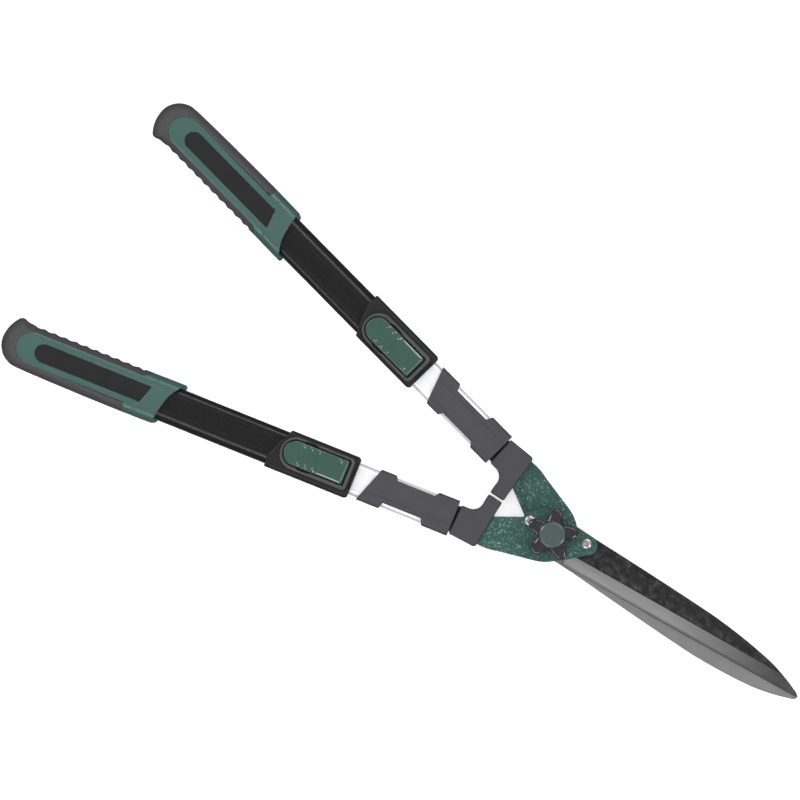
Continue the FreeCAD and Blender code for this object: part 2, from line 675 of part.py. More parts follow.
def make_sleeve_screw():
    seat = "-sleeve_bottom+screw_seat"
    end = "-outer_height/2+outer_wall"
    body = turned("sleeve_screw", ("0", "-sleeve_bottom+0.2"), ("screw_head", "-sleeve_bottom+0.2"),
                  ("screw_head", seat), ("screw_radius", seat), ("screw_radius", end), ("0", end),
                  x="-screw_s")
    cross = new_sketch(body, "screw_cross", "XY_Plane", "-sleeve_bottom", "-screw_s")
    outline(cross, ("-2", "-0.4"), ("-0.4", "-0.4"), ("-0.4", "-2"), ("0.4", "-2"), ("0.4", "-0.4"),
            ("2", "-0.4"), ("2", "0.4"), ("0.4", "0.4"), ("0.4", "2"), ("-0.4", "2"), ("-0.4", "0.4"),
            ("-2", "0.4"))
    pocket(body, cross, "1", reverse=True)
    both_handles(body, "sleeve_screw")


def make_lock_lever():
    """The flip lever: a hollow plate with a thumb end, a hub on the pin and a cam under the hub."""
    body = prism("lock_lever", lever_plan(), "lever_floor+lever_lift", "lever_top")

    def front_edge(edge):
        box = edge.BoundBox
        return (box.XLength < 1e-3 and box.ZLength < 1e-3 and box.YLength > 5
                and box.ZMin > worth("lever_top") - 1e-3)

    def other_top_edges(edge):
        return at_level("lever_top")(edge) and edge.BoundBox.XLength > 1
    fillet(body, "hub_radius-0.05", front_edge)
    fillet(body, "1.2", other_top_edges)
    inside = "(lever_radius-lever_wall)"
    hollow = [("-177", f"-lever_shift-{inside}"), ("-177", f"-lever_shift+{inside}"),
              ("-lever_rear", f"-lever_shift+{inside}"),
              (f"-lever_rear-{inside}", "-lever_shift", "-lever_rear", f"-lever_shift-{inside}")]
    cut_plan(body, "lever_hollow", hollow, "lever_floor", "2.4")
    for name, radius, drop in (("hub", "hub_radius", "0"), ("cam", "cam_radius", "cam_offset")):
        disc = new_sketch(body, "lever_" + name, "XZ_Plane", "-5.8")
        circle(disc, "-pin_s", f"pin_height-{drop}", radius)
        pad(body, disc, "14.6")
    drill(body, "lever_pin_hole", "XZ_Plane", "-pin_s", "pin_height", "pin_radius+running_gap")
    both_handles(body, "lock_lever")


def make_lever_pin():
    body = new_body("lever_pin")
    sketch = new_sketch(body, "lever_pin_section", "XZ_Plane", PIN_START)
    circle(sketch, "-pin_s", "pin_height", "pin_radius")
    pad(body, sketch, PIN_LENGTH)
    both_handles(body, "lever_pin")


def make_lock_shoe():
    """The pad between cam and inner tube."""
    body = prism("lock_shoe", shoe_plan(), "inner_height/2+shoe_gap",
                 "pin_height-cam_offset-cam_radius-cam_gap")
    both_handles(body, "lock_shoe")


def make_tube_plug():
    body = section("tube_plug", "-outer_rear-plug_flange", "-outer_rear", outer_profile("0.3"))
    stub = new_sketch(body, "tube_plug_stub", "YZ_Plane", "-outer_rear")
    outline(stub, *outer_profile("outer_wall"))
    pad(body, stub, "plug_stub")
    both_handles(body, "tube_plug")


# ---------------------------------------------------------------- grips

GRIP_PLAN = [("-304.5", "-19.2"), ("-316.5", "19"), ("-348", "19.5"), ("-436", "18.4"),
             ("-grip_rear+4.6", "11.5", "-grip_rear", "-1"),
             ("-grip_rear+2.8", "-13.5", "-449.5", "-19.8"), ("-447.6", "-20.8", "-445", "-20.6"),
             ("-434", "-18.9"), ("-340", "-18.9")]
BAND_PLAN = [("-330", "-14"), ("-330", "12"), ("-433", "12"), ("-445.5", "-1", "-433", "-14")]
COLLAR_PLAN = [("-300", "-25"), ("-300", "25"), ("-348", "25"), ("-348", "12"), ("-339", "12"),
               ("-339", "-14"), ("-341", "-14"), ("-334", "-20"), ("-334", "-25")]
INLAY_PLAN = [("-332.6", "-7.7"), ("-337.2", "6.8"), ("-421.5", "6.8"),
              ("-429", "-0.5", "-421.5", "-7.7")]


def grip_block(name):
    """The whole grip's outer form, solid: one outline from above, one from behind, one from the side."""
    plan = prism(name + "_plan", GRIP_PLAN, "-grip_height/2", "grip_height/2")
    mouth = [("-321", "22"), ("-320.5", "10"), ("-318", "-2"), ("-312.5", "-12"), ("-307", "-22"),
             ("-290", "-22"), ("-290", "22")]
    cut_plan(plan, name + "_mouth", mouth, "grip_height/2-mouth_depth", CLEAR)
    across = section(name + "_across", "-grip_rear-1", "-290",
                     rounded("grip_width", "grip_height", "grip_rounding", "-0.6"))
    side = new_body(name + "_side")
    profile = new_sketch(side, name + "_profile", "XZ_Plane")
    half, soft = "grip_height/2", "grip_rounding"
    outline(profile, ("-290", f"-{half}"), ("-290", half), (f"-grip_rear+{soft}", half),
            (f"-grip_rear+{soft}*(1-cos(45))", f"{half}-{soft}*(1-cos(45))", "-grip_rear",
             f"{half}-{soft}"), ("-grip_rear", f"-{half}+{soft}"),
            (f"-grip_rear+{soft}*(1-cos(45))", f"-{half}+{soft}*(1-cos(45))",
             f"-grip_rear+{soft}", f"-{half}"))
    pad(side, profile, CLEAR, midplane=True)
    return combine("MultiCommon", name, plan, across, side)


def grip_zone(name):
    """Where the hard core may be: the sleeve round the tube, the face bands and the collar."""
    sleeve = section(name + "_sleeve", "-outer_rear-5", "-300",
                     rounded("outer_width+2*grip_wall", "outer_height+2*grip_wall",
                             "outer_corner+grip_wall"))
    band = prism(name + "_band", BAND_PLAN, "-grip_height", "grip_height")
    collar = prism(name + "_collar", COLLAR_PLAN, "-grip_height", "grip_height")
    return combine("MultiFuse", name, sleeve, band, collar)


def make_grip():
    """The hard core, the soft rubber round its sides and rear, and the inlays in its two faces."""
    core = combine("MultiCommon", "grip_core_form", grip_block("core_block"), grip_zone("core_zone"))
    tube = section("grip_tube_room", "-outer_rear-2", "-290", outer_profile())
    levels = (("upper", "grip_height/2-inlay_depth", "grip_height/2+5"),
              ("lower", "-grip_height/2-5", "-grip_height/2+inlay_depth"))
    recesses = [prism(f"inlay_{which}_room", INLAY_PLAN, low, high) for which, low, high in levels]
    room = combine("MultiFuse", "grip_room", tube, *recesses)
    both_handles(combine("Cut", "grip_core", core, room), "grip_core", "right_grip_shift")
    rubber = combine("Cut", "grip_rubber", grip_block("rubber_block"), grip_zone("rubber_gap"))
    both_handles(rubber, "grip_rubber", "right_grip_shift")
    depths = (("upper", "grip_height/2-inlay_depth", "grip_height/2-inlay_sink"),
              ("lower", "-grip_height/2+inlay_sink", "-grip_height/2+inlay_depth"))
    inlays = [prism(f"inlay_{which}", INLAY_PLAN, low, high) for which, low, high in depths]
    both_handles(combine("MultiFuse", "grip_inlays", *inlays), "grip_inlays", "right_grip_shift")


# ---------------------------------------------------------------- pivot and knob

TANG_TOP = "blade_plane+blade_gap/2+blade_gauge+tang_gauge"
WASHER_FLOOR = f"{TANG_TOP}+washer_gauge"
KNOB_FLOOR = f"{TANG_TOP}+2*washer_gauge+0.05"


def make_pivot_bolt():
    """A low round head under the lower tang, a square neck in it, and the shank."""
    neck = "blade_plane-blade_gap/2-blade_gauge"
    body = turned("pivot_bolt", ("0", "0"), ("bolt_head-1.5", "0"),
                  ("bolt_head-0.4", "0.4", "bolt_head", "1.5"), ("bolt_head", f"{neck}-tang_gauge"),
                  ("bolt_radius", f"{neck}-tang_gauge"),
                  ("bolt_radius", "bolt_top-1"), ("bolt_radius-1", "bolt_top"), ("0", "bolt_top"))
    square = new_sketch(body, "bolt_square", "XY_Plane", f"{neck}-tang_gauge")
    outline(square, *rounded("bolt_neck", "bolt_neck", "0.6"))
    pad(body, square, "tang_gauge")
    subpart(body, "pivot_bolt")


def make_rings():
    """The bush in both blades, the conical spring washer and the flat thrust washer."""
    low = "blade_plane-blade_gap/2-blade_gauge"
    high = f"{TANG_TOP}-0.1"
    subpart(turned("pivot_bush", ("bolt_radius", low), ("bush_radius", low), ("bush_radius", high),
                   ("bolt_radius", high)), "pivot_bush")
    rim = "bush_radius+3.6"
    subpart(turned("spring_washer", (rim, TANG_TOP), (rim, f"{TANG_TOP}+washer_gauge*0.6"),
                   ("bolt_radius+0.6", f"{TANG_TOP}+washer_gauge"),
                   ("bolt_radius+0.6", f"{TANG_TOP}+washer_gauge*0.4")), "spring_washer")
    subpart(turned("thrust_washer", ("bolt_radius+0.2", WASHER_FLOOR), ("washer_radius", WASHER_FLOOR),
                   ("washer_radius", f"{WASHER_FLOOR}+washer_gauge"),
                   ("bolt_radius+0.2", f"{WASHER_FLOOR}+washer_gauge")), "thrust_washer")


def make_knob():
    """A five-lobed knob moulded round a hexagon nut, with a cap in its top."""
    top = f"({KNOB_FLOOR})+knob_height"
    steps = []
    for lobe in range(LOBES):
        turn = f"lobe_angle+{360 / LOBES * lobe}"
        near, tip, far = f"{turn}-lobe_spread", turn, f"{turn}+lobe_spread"
        hollow = f"{turn}+{180 / LOBES}"
        steps += [(f"lobe_shoulder*cos({near})", f"lobe_shoulder*sin({near})"),
                  (f"knob_reach*cos({tip})", f"knob_reach*sin({tip})",
                   f"lobe_shoulder*cos({far})", f"lobe_shoulder*sin({far})"),
                  (f"knob_waist*cos({hollow})", f"knob_waist*sin({hollow})")]
    joined = []
    for lobe in range(LOBES):
        start, tip, hollow = steps[3 * lobe:3 * lobe + 3]
        following = steps[(3 * lobe + 3) % len(steps)]
        joined += [tip, hollow + following]
    body = prism("knob", joined, KNOB_FLOOR, top)
    fillet(body, "2.2", at_level(top))
    fillet(body, "0.8", at_level(KNOB_FLOOR))
    recess = new_sketch(body, "cap_recess", "XY_Plane", f"{top}-cap_sink")
    circle(recess, "0", "0", "cap_radius")
    pocket(body, recess, CLEAR, reverse=True)
    nut_room = new_sketch(body, "nut_room", "XY_Plane", KNOB_FLOOR)
    outline(nut_room, *polygon(HEX, "nut_flats/2/cos(30)"))
    pocket(body, nut_room, "nut_height", reverse=True)
    bolt_room = new_sketch(body, "bolt_room", "XY_Plane", KNOB_FLOOR)
    circle(bolt_room, "0", "0", "bolt_radius+0.5")
    pocket(body, bolt_room, f"bolt_top+1-({KNOB_FLOOR})", reverse=True)
    subpart(body, "knob")
    nut = prism("knob_nut", polygon(HEX, "nut_flats/2/cos(30)"), KNOB_FLOOR, f"{KNOB_FLOOR}+nut_height")
    drill(nut, "nut_bore", "XY_Plane", "0", "0", "bolt_radius+running_gap")
    subpart(nut, "knob_nut")
    subpart(turned("knob_cap", ("0", f"{top}-cap_sink"), ("cap_radius", f"{top}-cap_sink"),
                   ("cap_radius", f"{top}+0.3"),
                   ("cap_radius*0.6", f"{top}+cap_dome*0.85", "cap_radius*0.2", f"{top}+cap_dome"),
                   ("0", f"{top}+cap_dome")), "knob_cap")


make_halves()
make_inner_tube()
make_tang_packing()
make_tube_rivets()
make_guide_plug()
make_front_cover()
make_outer_tube()
make_lock_sleeve()
make_sleeve_screw()
make_lock_lever()
make_lever_pin()
make_lock_shoe()
make_tube_plug()
make_grip()
make_pivot_bolt()
make_rings()
make_knob()
doc.recompute()

for thing in doc.Objects:
    if {"Invalid", "Error"} & set(thing.State):
        raise RuntimeError(f"{thing.Name} did not compute: {thing.State}")
os.makedirs("parts", exist_ok=True)
for thing in SUBPARTS:
    if thing.Shape.isNull() or not thing.Shape.isValid():
        raise RuntimeError(f"{thing.Label} has no valid shape")
for thing in SUBPARTS:
    thing.Shape.exportStep(f"parts/{thing.Label}.step")
    print(f"{thing.Label:22s} {len(thing.Shape.Solids)} solid {thing.Shape.Volume:10.1f} mm3")
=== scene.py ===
import json
import math

import bmesh
import bpy
from mathutils import Matrix, Vector


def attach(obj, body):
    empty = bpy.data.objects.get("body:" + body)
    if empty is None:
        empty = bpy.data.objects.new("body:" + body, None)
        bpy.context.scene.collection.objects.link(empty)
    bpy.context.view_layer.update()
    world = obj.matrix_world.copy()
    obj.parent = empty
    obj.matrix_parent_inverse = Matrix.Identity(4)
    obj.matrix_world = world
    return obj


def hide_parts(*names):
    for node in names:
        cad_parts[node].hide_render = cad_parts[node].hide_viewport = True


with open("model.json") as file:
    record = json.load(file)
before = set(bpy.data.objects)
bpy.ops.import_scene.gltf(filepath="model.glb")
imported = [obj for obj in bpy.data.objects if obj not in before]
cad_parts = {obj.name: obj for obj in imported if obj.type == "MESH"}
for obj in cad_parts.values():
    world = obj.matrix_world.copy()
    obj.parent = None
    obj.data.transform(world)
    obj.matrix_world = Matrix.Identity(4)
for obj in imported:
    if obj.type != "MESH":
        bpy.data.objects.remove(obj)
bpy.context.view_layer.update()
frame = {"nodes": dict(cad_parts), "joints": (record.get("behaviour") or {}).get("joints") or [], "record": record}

MM = 0.001
SIDES = {"left": 1, "right": -1}
BODY_OF = {node: body for body, nodes in frame["record"]["behaviour"]["bodies"].items()
           for node in nodes}
SLOT_OF = {part["node"]: part["material_slot"] for part in frame["record"]["subparts"]}
JOINTS = {joint["name"]: joint for joint in frame["joints"]}


# ---------------------------------------------------------------- the handles' own axes

def handle_matrix(side):
    """From a handle's axes (x towards the blades, y outwards, z up) to the frame's, in metres."""
    away = Vector(JOINTS[f"{side}_telescope"]["axis"])
    pin = Vector(JOINTS[f"{side}_lever_lift"]["pos_m"])
    level = Vector(JOINTS["blade_pivot"]["pos_m"]).z
    along = -away
    out = Vector((-along.y, along.x, 0)) * SIDES[side]
    origin = pin + away * (-pin.x / away.x)
    matrix = Matrix((along, out, Vector((0, 0, 1)))).transposed().to_4x4()
    matrix.translation = Vector((0, origin.y, level))
    return matrix


HANDLE = {side: handle_matrix(side) for side in SIDES}
HANDLE_TURN = {side: math.atan2(HANDLE[side][1][0], HANDLE[side][0][0]) for side in SIDES}
BLADE_PLANE = JOINTS["blade_pivot"]["pos_m"][2]     # where the blades meet
EDGE_TURN = math.radians(4.1)       # cutting edge to the tool's axis
EDGE_SHADOW_LEVEL = 0.0012                 # top of the painted shadow along the cutting edge, from that plane
EDGE_SHADOW_BLUR = 0.0001
PAINTED_SHADE_REAR = -0.058                 # the tangs are painted near-black behind this, as painted shade


# ---------------------------------------------------------------- finishes

class Finish:
    """A material's nodes, with short ways to add what the finishes here need."""

    def __init__(self, name, turn=0.0):
        self.material = bpy.data.materials.new(name)
        self.material.use_nodes = True
        self.tree = self.material.node_tree
        self.shader = self.tree.nodes["Principled BSDF"]
        place = self.add("ShaderNodeTexCoord")
        turned = self.add("ShaderNodeMapping", Vector=place.outputs["Object"])
        turned.inputs["Rotation"].default_value = (0, 0, -turn)
        self.place = turned.outputs[0]

    def add(self, kind, **inputs):
        """A new node. An input is a value or another node's output."""
        node = self.tree.nodes.new(kind)
        for key, value in inputs.items():
            self.link(node.inputs[key.replace("_", " ")], value)
        return node

    def link(self, socket, value):
        if hasattr(value, "is_output"):
            self.tree.links.new(value, socket)
        else:
            socket.default_value = value

    def set(self, **inputs):
        """Sets or links the surface shader's inputs."""
        for key, value in inputs.items():
            self.link(self.shader.inputs[key.replace("_", " ")], value)
        return self

    def stretched(self, x=1.0, y=1.0, z=1.0):
        """The place scaled along each axis: a small scale draws a texture out along that axis."""
        node = self.add("ShaderNodeMapping", Vector=self.place)
        node.inputs["Scale"].default_value = (x, y, z)
        return node.outputs[0]

    def noise(self, scale, detail=3.0, roughness=0.5, at=None):
        node = self.add("ShaderNodeTexNoise", Vector=at or self.place, Scale=scale, Detail=detail,
                        Roughness=roughness)
        return node.outputs["Fac"]

    def cells(self, scale, at, smooth=None):
        """A cell texture, with its cells run together if smooth is given."""
        node = self.tree.nodes.new("ShaderNodeTexVoronoi")
        self.link(node.inputs["Vector"], at)
        node.inputs["Scale"].default_value = scale
        if smooth is not None:
            node.feature = "SMOOTH_F1"
            node.inputs["Smoothness"].default_value = smooth
        return node

    def ramp(self, factor, *stops):
        """stops are (place, value or colour)."""
        node = self.add("ShaderNodeValToRGB", Fac=factor)
        elements = node.color_ramp.elements
        while len(elements) < len(stops):
            elements.new(0.5)
        for element, (at, value) in zip(elements, stops):
            element.position = at
            element.color = (*value, 1) if isinstance(value, tuple) else (value, value, value, 1)
        return node.outputs["Color"]

    def mix(self, factor, first, second, mode="MIX"):
        node = self.tree.nodes.new("ShaderNodeMix")
        node.data_type = "RGBA"
        node.blend_type = mode
        self.link(node.inputs["Factor"], factor)
        for socket, value in ((6, first), (7, second)):
            self.link(node.inputs[socket], (*value, 1) if isinstance(value, tuple) else value)
        return node.outputs[2]

    def maths(self, kind, *values):
        node = self.tree.nodes.new("ShaderNodeMath")
        node.operation = kind
        for socket, value in zip(node.inputs, values):
            self.link(socket, value)
        return node.outputs[0]

    def vector(self, kind, *values):
        node = self.tree.nodes.new("ShaderNodeVectorMath")
        node.operation = kind
        sockets = [socket for socket in node.inputs if socket.enabled]
        for socket, value in zip(sockets, values):
            self.link(socket, value)
        return node.outputs[0]

    def axis(self, name):
        """The place along one axis, in metres."""
        return self.add("ShaderNodeSeparateXYZ", Vector=self.place).outputs[name]

    def bump(self, height, distance, strength=1.0, under=None):
        """A bumped normal, on top of another one if under is given."""
        node = self.add("ShaderNodeBump", Height=height, Distance=distance, Strength=strength)
        if under is not None:
            self.link(node.inputs["Normal"], under)
        return node.outputs[0]


def grained(name, colour, spread, roughness, grain=0.00006, scale=1400, coat=0.0, gleam=0.25):
    """Moulded plastic: fine spark-eroded grain, slight cloudiness and uneven gloss."""
    f = Finish(name)
    cloud = f.noise(55, 4)
    fine = f.noise(scale, 2, 0.6)
    light = tuple(c * (1 + spread) for c in colour)
    dark = tuple(c * (1 - spread) for c in colour)
    shade = f.mix(cloud, dark, light)
    uneven = f.maths("MULTIPLY", f.maths("SUBTRACT", cloud, 0.5), 0.16)
    f.set(Base_Color=f.mix(0.25, shade, f.ramp(fine, (0.3, dark), (0.7, light))),
          Roughness=f.maths("ADD", roughness, uneven),
          Coat_Weight=coat, Coat_Roughness=0.14, Specular_IOR_Level=gleam,
          Normal=f.bump(fine, grain, 0.6))
    return f.material


def hammer_paint():
    """Green hammer finish: shallow round dimples with scattered light flecks, and near-black inside the handles as
    painted shade for the deep gap at the elbows."""
    f = Finish("hammer_paint")
    wobble = f.add("ShaderNodeTexNoise", Vector=f.place, Scale=260.0, Detail=2.0)
    shift = f.vector("SCALE", wobble.outputs["Color"], 0.0016)
    warped = f.vector("ADD", f.place, shift)
    dimple = f.cells(620, warped, 0.35).outputs["Distance"]
    dimple = f.ramp(dimple, (0.10, 1.0), (0.62, 0.0))
    spot = f.cells(700, warped)
    chance = f.add("ShaderNodeSeparateColor", Color=spot.outputs["Color"]).outputs["Red"]
    patch = f.noise(45, 3)
    flecks = f.maths("MULTIPLY", f.ramp(chance, (0.5, 0.0), (0.92, 1.0)),
                     f.ramp(spot.outputs["Distance"], (0.15, 1.0), (0.6, 0.0)))
    flecks = f.maths("MULTIPLY", flecks, f.ramp(patch, (0.35, 0.25), (0.6, 1.0)))
    base = f.mix(patch, (0.020, 0.071, 0.060), (0.040, 0.108, 0.092))
    base = f.mix(f.maths("MULTIPLY", dimple, 0.35), base, (0.018, 0.066, 0.052))
    paint = f.mix(flecks, base, (0.28, 0.44, 0.40))
    # painted shade: the tangs go near-black behind the elbows, where the gap is deep
    inside = f.add("ShaderNodeMapRange", Value=f.axis("X"), From_Min=PAINTED_SHADE_REAR,
                   From_Max=PAINTED_SHADE_REAR - 3 * MM)
    f.set(Base_Color=f.mix(inside.outputs[0], paint, (0.008, 0.008, 0.008)),
          Metallic=0.2, Roughness=f.ramp(dimple, (0.0, 0.38), (1.0, 0.26)), Coat_Weight=0.4,
          Coat_Roughness=0.14, Normal=f.bump(dimple, 0.00014, 0.9))
    return f.material


def ground_steel(turn):
    """The ground bevel: fine grinding lines along the blade, a painted shadow along the cutting edge, darker
    towards the tip.
    """
    f = Finish("ground_steel", turn)
    lines = f.noise(900, 4, 0.6, f.stretched(0.02, 1.0, 1.0))
    broad = f.noise(30, 3, 0.5, f.stretched(0.25, 1.0, 1.0))
    tone = f.mix(lines, (0.28, 0.28, 0.283), (0.52, 0.52, 0.525))
    tone = f.mix(f.maths("MULTIPLY", broad, 0.5), tone, (0.24, 0.24, 0.242))
    away = f.maths("ABSOLUTE", f.maths("SUBTRACT", f.axis("Z"), BLADE_PLANE))
    # painted shadow: a darker band on the bevel along the cutting edge
    edge_shadow = f.add("ShaderNodeMapRange", Value=away, From_Min=EDGE_SHADOW_LEVEL + EDGE_SHADOW_BLUR,
                  From_Max=EDGE_SHADOW_LEVEL - EDGE_SHADOW_BLUR)
    tone = f.mix(f.maths("MULTIPLY", edge_shadow.outputs[0], 0.6), tone, (0.12, 0.12, 0.122))
    # the bevel turns darker and mottled towards the tip
    far = f.add("ShaderNodeMapRange", Value=f.axis("X"), From_Min=0.11, From_Max=0.212)
    tip_tone = f.mix(f.noise(140, 4), (0.050, 0.050, 0.051), (0.115, 0.115, 0.117))
    tone = f.mix(far.outputs[0], tone, tip_tone)
    f.set(Base_Color=tone, Metallic=0.8, Roughness=f.ramp(lines, (0.2, 0.36), (0.8, 0.5)),
          Normal=f.bump(lines, 0.00003, 0.5))
    return f.material


def blade_face(turn):
    """The flat inner face of a blade: pale, surface-ground, faintly streaked."""
    f = Finish("blade_face", turn)
    lines = f.noise(700, 4, 0.6, f.stretched(0.03, 1.0, 1.0))
    broad = f.noise(36, 3, 0.5, f.stretched(0.4, 1.0, 1.0))
    tone = f.mix(lines, (0.26, 0.255, 0.26), (0.38, 0.375, 0.38))
    blotch = f.ramp(f.noise(95, 4, 0.6), (0.4, 0.0), (0.62, 0.45))
    tone = f.mix(blotch, tone, (0.42, 0.41, 0.42))
    f.set(Base_Color=f.mix(f.maths("MULTIPLY", broad, 0.5), tone, (0.30, 0.295, 0.30)), Metallic=0.8,
          Roughness=f.ramp(lines, (0.2, 0.38), (0.8, 0.52)), Normal=f.bump(lines, 0.00003, 0.4))
    return f.material


def oxide_steel(turn):
    """The blade's untouched flat: hot-rolled dark oxide, mottled."""
    f = Finish("oxide_steel", turn)
    mottle = f.noise(170, 6, 0.68)
    streak = f.noise(40, 4, 0.6, f.stretched(0.35, 1.0, 1.0))
    fine = f.noise(900, 3)
    tone = f.ramp(mottle, (0.32, (0.006, 0.006, 0.0062)), (0.50, (0.021, 0.021, 0.0215)),
                  (0.70, (0.085, 0.085, 0.087)))
    tone = f.mix(f.maths("MULTIPLY", f.ramp(streak, (0.35, 0.0), (0.7, 1.0)), 0.5), tone,
                 (0.016, 0.016, 0.017))
    f.set(Base_Color=tone, Metallic=0.45, Roughness=f.ramp(mottle, (0.3, 0.42), (0.7, 0.6)),
          Normal=f.bump(fine, 0.00005, 0.5, f.bump(mottle, 0.00015, 0.4)))
    return f.material


def zinc():
    """Plated rivets, washers and screws."""
    f = Finish("zinc_plate")
    cloud = f.noise(240, 4)
    f.set(Base_Color=f.mix(cloud, (0.66, 0.62, 0.60), (0.88, 0.83, 0.80)), Metallic=0.9,
          Roughness=f.ramp(cloud, (0.3, 0.24), (0.7, 0.4)),
          Normal=f.bump(f.noise(1100, 2), 0.00003, 0.5))
    return f.material


def dark_steel():
    """Black oxide on the lock's pin and shoe."""
    f = Finish("dark_steel")
    cloud = f.noise(240, 4)
    f.set(Base_Color=f.mix(cloud, (0.012, 0.012, 0.0125), (0.03, 0.03, 0.031)), Metallic=0.5,
          Roughness=f.ramp(cloud, (0.3, 0.4), (0.7, 0.55)),
          Normal=f.bump(f.noise(1100, 2), 0.00003, 0.5))
    return f.material


def aluminium(turn):
    """Drawn tube: fine die lines along it."""
    f = Finish("bare_aluminium", turn)
    lines = f.noise(1100, 3, 0.6, f.stretched(0.01, 1.0, 1.0))
    f.set(Base_Color=f.mix(lines, (0.84, 0.84, 0.85), (0.95, 0.95, 0.96)), Metallic=0.3,
          Roughness=f.ramp(lines, (0.2, 0.34), (0.8, 0.46)), Normal=f.bump(lines, 0.00002, 0.5))
    return f.material


def coated_tube(turn):
    """Black powder coat over a drawn tube: faint orange peel and die lines."""
    f = Finish("tube_coating", turn)
    peel = f.noise(700, 2)
    lines = f.noise(1500, 2, 0.5, f.stretched(0.004, 1.0, 1.0))
    f.set(Base_Color=f.mix(lines, (0.006, 0.006, 0.0062), (0.012, 0.012, 0.0122)),
          Roughness=f.ramp(peel, (0.3, 0.27), (0.7, 0.37)), Specular_IOR_Level=0.35,
          Normal=f.bump(lines, 0.00006, 0.6, f.bump(peel, 0.00003, 0.4)))
    return f.material


def brass():
    """The pivot's bush."""
    f = Finish("bush_brass")
    f.set(Base_Color=f.mix(f.noise(300, 3), (0.62, 0.44, 0.18), (0.75, 0.56, 0.26)), Metallic=0.95,
          Roughness=0.3, Normal=f.bump(f.noise(900, 2), 0.00003, 0.5))
    return f.material


def make_finishes():
    """The finish of each material slot, for the left side, the right side or any."""
    made = {}
    for side, sign in SIDES.items():
        turn, grind = HANDLE_TURN[side], -sign * EDGE_TURN
        made[side] = {"bare_aluminium": aluminium(turn), "tube_coating": coated_tube(turn),
                      "blade_steel": oxide_steel(grind), "bevel": ground_steel(grind),
                      "face": blade_face(grind)}
    made["any"] = {
        "hammer_paint": hammer_paint(),
        "rivet_steel": zinc(),
        "elbow_plastic": grained("elbow_plastic", (0.053, 0.053, 0.059), 0.10, 0.52),
        "cover_plastic": grained("cover_plastic", (0.057, 0.056, 0.061), 0.12, 0.46),
        "inner_plastic": grained("inner_plastic", (0.02, 0.02, 0.0205), 0.1, 0.5),
        "sleeve_plastic": grained("sleeve_plastic", (0.017, 0.017, 0.0175), 0.15, 0.36, coat=0.2),
        # the rim's lighter grey is a painted highlight along its top
        "rim_painted_highlight": grained("rim_painted_highlight", (0.066, 0.066, 0.067), 0.15, 0.5),
        "lever_plastic": grained("lever_plastic", (0.031, 0.082, 0.063), 0.10, 0.2, grain=0.00002,
                                 coat=0.8, gleam=0.5),
        "dark_steel": dark_steel(),
        "grip_plastic": grained("grip_plastic", (0.043, 0.101, 0.083), 0.12, 0.34, gleam=0.5),
        "grip_rubber": grained("grip_rubber", (0.060, 0.059, 0.060), 0.12, 0.62, grain=0.0001,
                               scale=1100),
        "inlay_plastic": grained("inlay_plastic", (0.013, 0.0135, 0.0135), 0.15, 0.5,
                                 grain=0.00014, scale=900),
        "bush_brass": brass(),
        "knob_plastic": grained("knob_plastic", (0.024, 0.021, 0.027), 0.10, 0.22, grain=0.00002,
                                coat=0.7, gleam=0.5),
        "cap_plastic": grained("cap_plastic", (0.050, 0.075, 0.069), 0.08, 0.3, grain=0.00003,
                               coat=0.9, gleam=0.5),
    }
    return made


FINISHES = make_finishes()


def finish_of(node):
    """The finish for a CAD node's slot, turned to its side's axis where it has a direction."""
    side = node.split("_")[0]
    slot = SLOT_OF[node]
    return FINISHES.get(side, {}).get(slot) or FINISHES["any"][slot]


# ---------------------------------------------------------------- outlines and solids, in millimetres

ARC_TURN = math.radians(14)         # most that one segment of an arc turns
WELD = 2e-6                         # metres
BEYOND = 20.0                       # half height of a tool that cuts right through


def arc_points(start, middle, end, step=1.2):
    """Points after start, up to end, on the circle through the three points."""
    (ax, ay), (bx, by), (cx, cy) = start, middle, end
    twice = 2 * (ax * (by - cy) + bx * (cy - ay) + cx * (ay - by))
    a2, b2, c2 = ax * ax + ay * ay, bx * bx + by * by, cx * cx + cy * cy
    ox = (a2 * (by - cy) + b2 * (cy - ay) + c2 * (ay - by)) / twice
    oy = (a2 * (cx - bx) + b2 * (ax - cx) + c2 * (bx - ax)) / twice
    radius = math.hypot(ax - ox, ay - oy)
    first, through, last = (math.atan2(y - oy, x - ox) for x, y in (start, middle, end))
    sweep = (last - first) % math.tau
    if (through - first) % math.tau > sweep:
        sweep -= math.tau
    count = max(math.ceil(abs(sweep) / ARC_TURN), round(abs(sweep) * radius / step))
    turns = [first + sweep * n / count for n in range(1, count + 1)]
    return [(ox + radius * math.cos(turn), oy + radius * math.sin(turn)) for turn in turns]


def outline(*steps):
    """The points of a closed outline. A step is a corner (x, y), or (mx, my, x, y), reached by an
    arc through (mx, my)."""
    points = []
    for number, step in enumerate(steps):
        if len(step) == 2:
            points.append(step)
        else:
            points += arc_points(steps[number - 1][-2:], step[:2], step[2:])
    return points


def smooth_run(points, count=6):
    """A smooth curve through points: count spans between each two."""
    run = []
    for number in range(len(points) - 1):
        p0, p3 = points[max(number - 1, 0)], points[min(number + 2, len(points) - 1)]
        p1, p2 = points[number], points[number + 1]
        for n in range(count):
            t = n / count
            run.append(tuple(
                0.5 * (2 * b + (c - a) * t + (2 * a - 5 * b + 4 * c - d) * t * t
                       + (3 * b - a - 3 * c + d) * t ** 3)
                for a, b, c, d in zip(p0, p1, p2, p3)))
    return run + [points[-1]]


